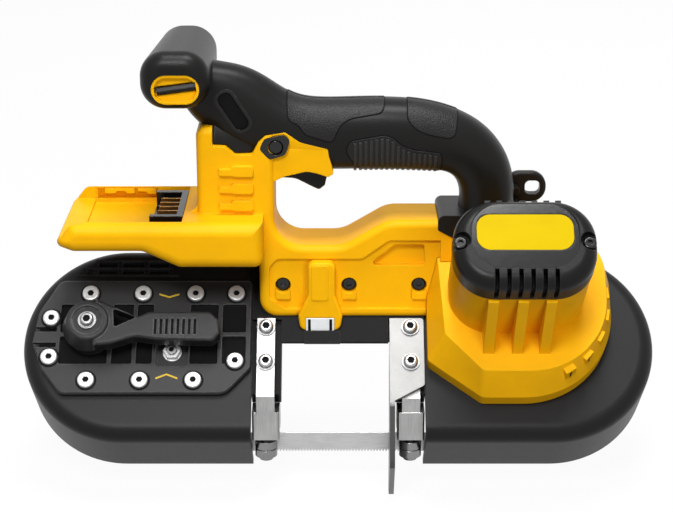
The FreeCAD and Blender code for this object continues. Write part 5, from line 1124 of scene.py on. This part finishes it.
@dataclass
class BladeFrame:
    """The toothed band and the details of the idler wheel's guard."""

    shop: Workshop
    span: Point2 = (-70.0, 10.0)
    pitch: float = 1.8
    tooth: float = 1.4
    gullet_end: float = 0.98
    gullet_peak: float = 0.72
    gullet_foot: float = -0.5
    gullet_reach: Point2 = (5.0, 11.0)
    louvre_rows: Points = ((48.0, 51.2), (43.4, 46.2))
    louvre_columns: Points = ((-144.5, -133.0), (-130.0, -117.0), (-114.0, -102.0))
    louvre_floor: float = 27.4
    louvre_rise: Point2 = (-0.05, 0.2)
    guard_ribs: Tuple[Point3, ...] = ((-146.0, -100.0, 51.6), (-154.0, -100.0, 46.4), (-158.0, -96.0, 41.6))
    rib_width: float = 0.9
    rib_levels: Point2 = (29.9, 30.7)

    def build(self) -> None:
        """Cut the teeth into a copy of the band, and make dark sheets of painted shade in the guard's louvres, and the
        guard's ribs.
        """
        band = self.shop.carve(self.shop.node_mesh("saw_blade"), self.gullets(), "DIFFERENCE")
        self.shop.piece(band, "toothed_band", "blade_steel", stands_for=("saw_blade",))
        # Dark sheets on the floors of the guard's louvres: painted shade.
        louvres = pockets(self.louvre_columns, self.louvre_rows)
        shade_sheets = raised_all(louvres, *over(self.louvre_floor, self.louvre_rise))
        self.shop.piece(shade_sheets, "louvre_painted_shade", "dark_trim_and_painted_shade", slot="black_frame")
        ribs = [oblong(left, right, low, low + self.rib_width) for left, right, low in self.guard_ribs]
        self.shop.piece(raised_all(ribs, *self.rib_levels), "guard_ribs", "black_frame")

    def gullets(self) -> BMesh:
        """The gaps between the teeth, as prisms through the straight run of the band."""
        start, end = self.span
        gaps = []
        for i in range(int((end - start) / self.pitch)):
            x = start + i * self.pitch
            gaps.append([(x, self.gullet_foot), (x + self.pitch * self.gullet_end, self.gullet_foot),
                         (x + self.pitch * self.gullet_peak, self.tooth)])
        return joined(extruded(gap, *self.gullet_reach) for gap in gaps)


@dataclass
class Guides:
    """Details of the blade guides' bolts."""

    shop: Workshop
    bolts: Points = ((-42.5, 5.82), (-42.5, -16.18), (42.5, 5.82), (42.5, -16.18))
    seat: float = 36.0
    washer_radii: Point2 = (4.25, 5.4)
    washer_rise: Point2 = (0.0, 0.9)
    socket: float = 2.2
    socket_rise: Point2 = (1.65, 2.6)

    def build(self) -> None:
        """Make the washers of the guides' bolts and dark hexagons of painted shade in their sockets."""
        rings = joined(washer(place, *self.washer_radii, *over(self.seat, self.washer_rise)) for place in self.bolts)
        self.shop.piece(rings, "guide_bolt_washers", "bearing_steel")
        # Dark hexagons in the bolts' sockets: painted shade.
        sockets = [circle(place, self.socket, HEXAGON) for place in self.bolts]
        made = raised_all(sockets, *over(self.seat, self.socket_rise))
        self.shop.piece(made, "guide_bolt_socket_painted_shade", "dark_trim_and_painted_shade", slot="zinc_steel")


@dataclass(frozen=True)
class Lamp:
    """A soft square lamp. Its place and edge are in metres and its power in watts."""

    name: str
    place: Point3
    size: float
    power: float
    shines: bool = True

    def hang(self, target: Vector) -> None:
        """Hang the lamp, aimed at a target in metres; one that doesn't shine is left out of reflections."""
        data = bpy.data.lights.new(self.name, "AREA")
        data.size = self.size
        data.energy = self.power
        place = Vector(self.place)
        aimed(data, place, target - place).visible_glossy = self.shines


@dataclass
class Studio:
    """White floor, soft lamps and the photo's camera."""

    target: Point3 = (-31.0, 45.0, 109.97)
    eye: Point3 = (-31.0, -991.9, 477.2)
    lens: float = 98.9
    sensor: float = 36.0
    clip_metres: Point2 = (0.05, 40.0)
    floor_gap: float = 0.4
    floor_half_metres: float = 6.0
    floor_rough: float = 0.9
    floor_tones: Tuple[Colour, Colour] = ((0.36, 0.36, 0.36), (0.95, 0.95, 0.95))
    floor_glow: float = 0.94
    sky: float = 0.1
    lamps: Tuple[Lamp, ...] = (
        Lamp("key_lamp", (-0.25, -1.14, 1.32), 0.45, 17.0),
        Lamp("fill_lamp", (0.45, -1.35, 0.30), 0.5, 7.5, shines=False),
        Lamp("back_lamp", (0.3, 1.3, 0.9), 0.8, 7.0, shines=False),
        Lamp("top_lamp", (0.05, -0.17, 1.55), 0.6, 17.5),
    )

    def build(self, lowest: float) -> None:
        """Set the stage under the saw.

        Args:
            lowest: Height of the saw's lowest point, in metres.
        """
        self.floor(lowest - self.floor_gap * MM)
        self.world()
        for lamp in self.lamps:
            lamp.hang(Vector(self.target) * MM)
        self.camera()

    def floor(self, level: float) -> None:
        """Make the pale floor, which glows white where it is seen and throws back less light.

        Args:
            level: Its height in metres.
        """
        made = bmesh.new()
        bmesh.ops.create_grid(made, x_segments=1, y_segments=1, size=self.floor_half_metres)
        bmesh.ops.translate(made, vec=Vector((0.0, 0.0, level)), verts=made.verts)
        item = as_object(made, "floor")
        shader = Shader("floor_white")
        shader.drive("Roughness", self.floor_rough)
        seen = shader.seen()
        shader.drive("Base Color", shader.blend(seen, *self.floor_tones))
        glow = shader.node("Emission", Strength=1.0).outputs["Emission"]
        share = shader.math("MULTIPLY", seen, self.floor_glow)
        shader.feed(shader.out, shader.mixed(share, shader.surface.outputs["BSDF"], glow))
        item.data.materials.append(shader.material)
        item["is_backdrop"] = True

    def world(self) -> None:
        """Light the saw evenly from a dim sky that is seen as white."""
        world = bpy.data.worlds.new("studio")
        bpy.context.scene.world = world
        world.use_nodes = True
        nodes = Nodes(world.node_tree)
        dim, bright = (nodes.node("Background", Color=(*WHITE, 1.0), Strength=strength).outputs[0]
                       for strength in (self.sky, 1.0))
        nodes.feed(nodes.node("OutputWorld").inputs["Surface"], nodes.mixed(nodes.seen(), dim, bright))

    def camera(self) -> None:
        """Place the camera at the photo's view."""
        data = bpy.data.cameras.new("photo_camera")
        data.lens = self.lens
        data.sensor_width = self.sensor
        data.sensor_fit = "HORIZONTAL"
        data.clip_start, data.clip_end = self.clip_metres
        eye = Vector(self.eye)
        bpy.context.scene.camera = aimed(data, eye * MM, Vector(self.target) - eye)


def main() -> None:
    """Build the looks in order and report each piece."""
    logging.basicConfig(level=logging.INFO, format="%(name)s %(message)s")
    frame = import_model()
    cad_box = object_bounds()
    scene = bpy.context.scene
    scene.view_settings.view_transform = "Standard"
    shop = Workshop(frame, make_finishes())
    for part in (BladeFrame(shop), TensionSide(shop), Handle(shop), Housing(shop), Drive(shop), Guides(shop)):
        part.build()
    shop.paint()
    Studio().build(cad_box[0].z)
    log.info("%d new pieces", shop.count)


if __name__ == "__main__":
    main()
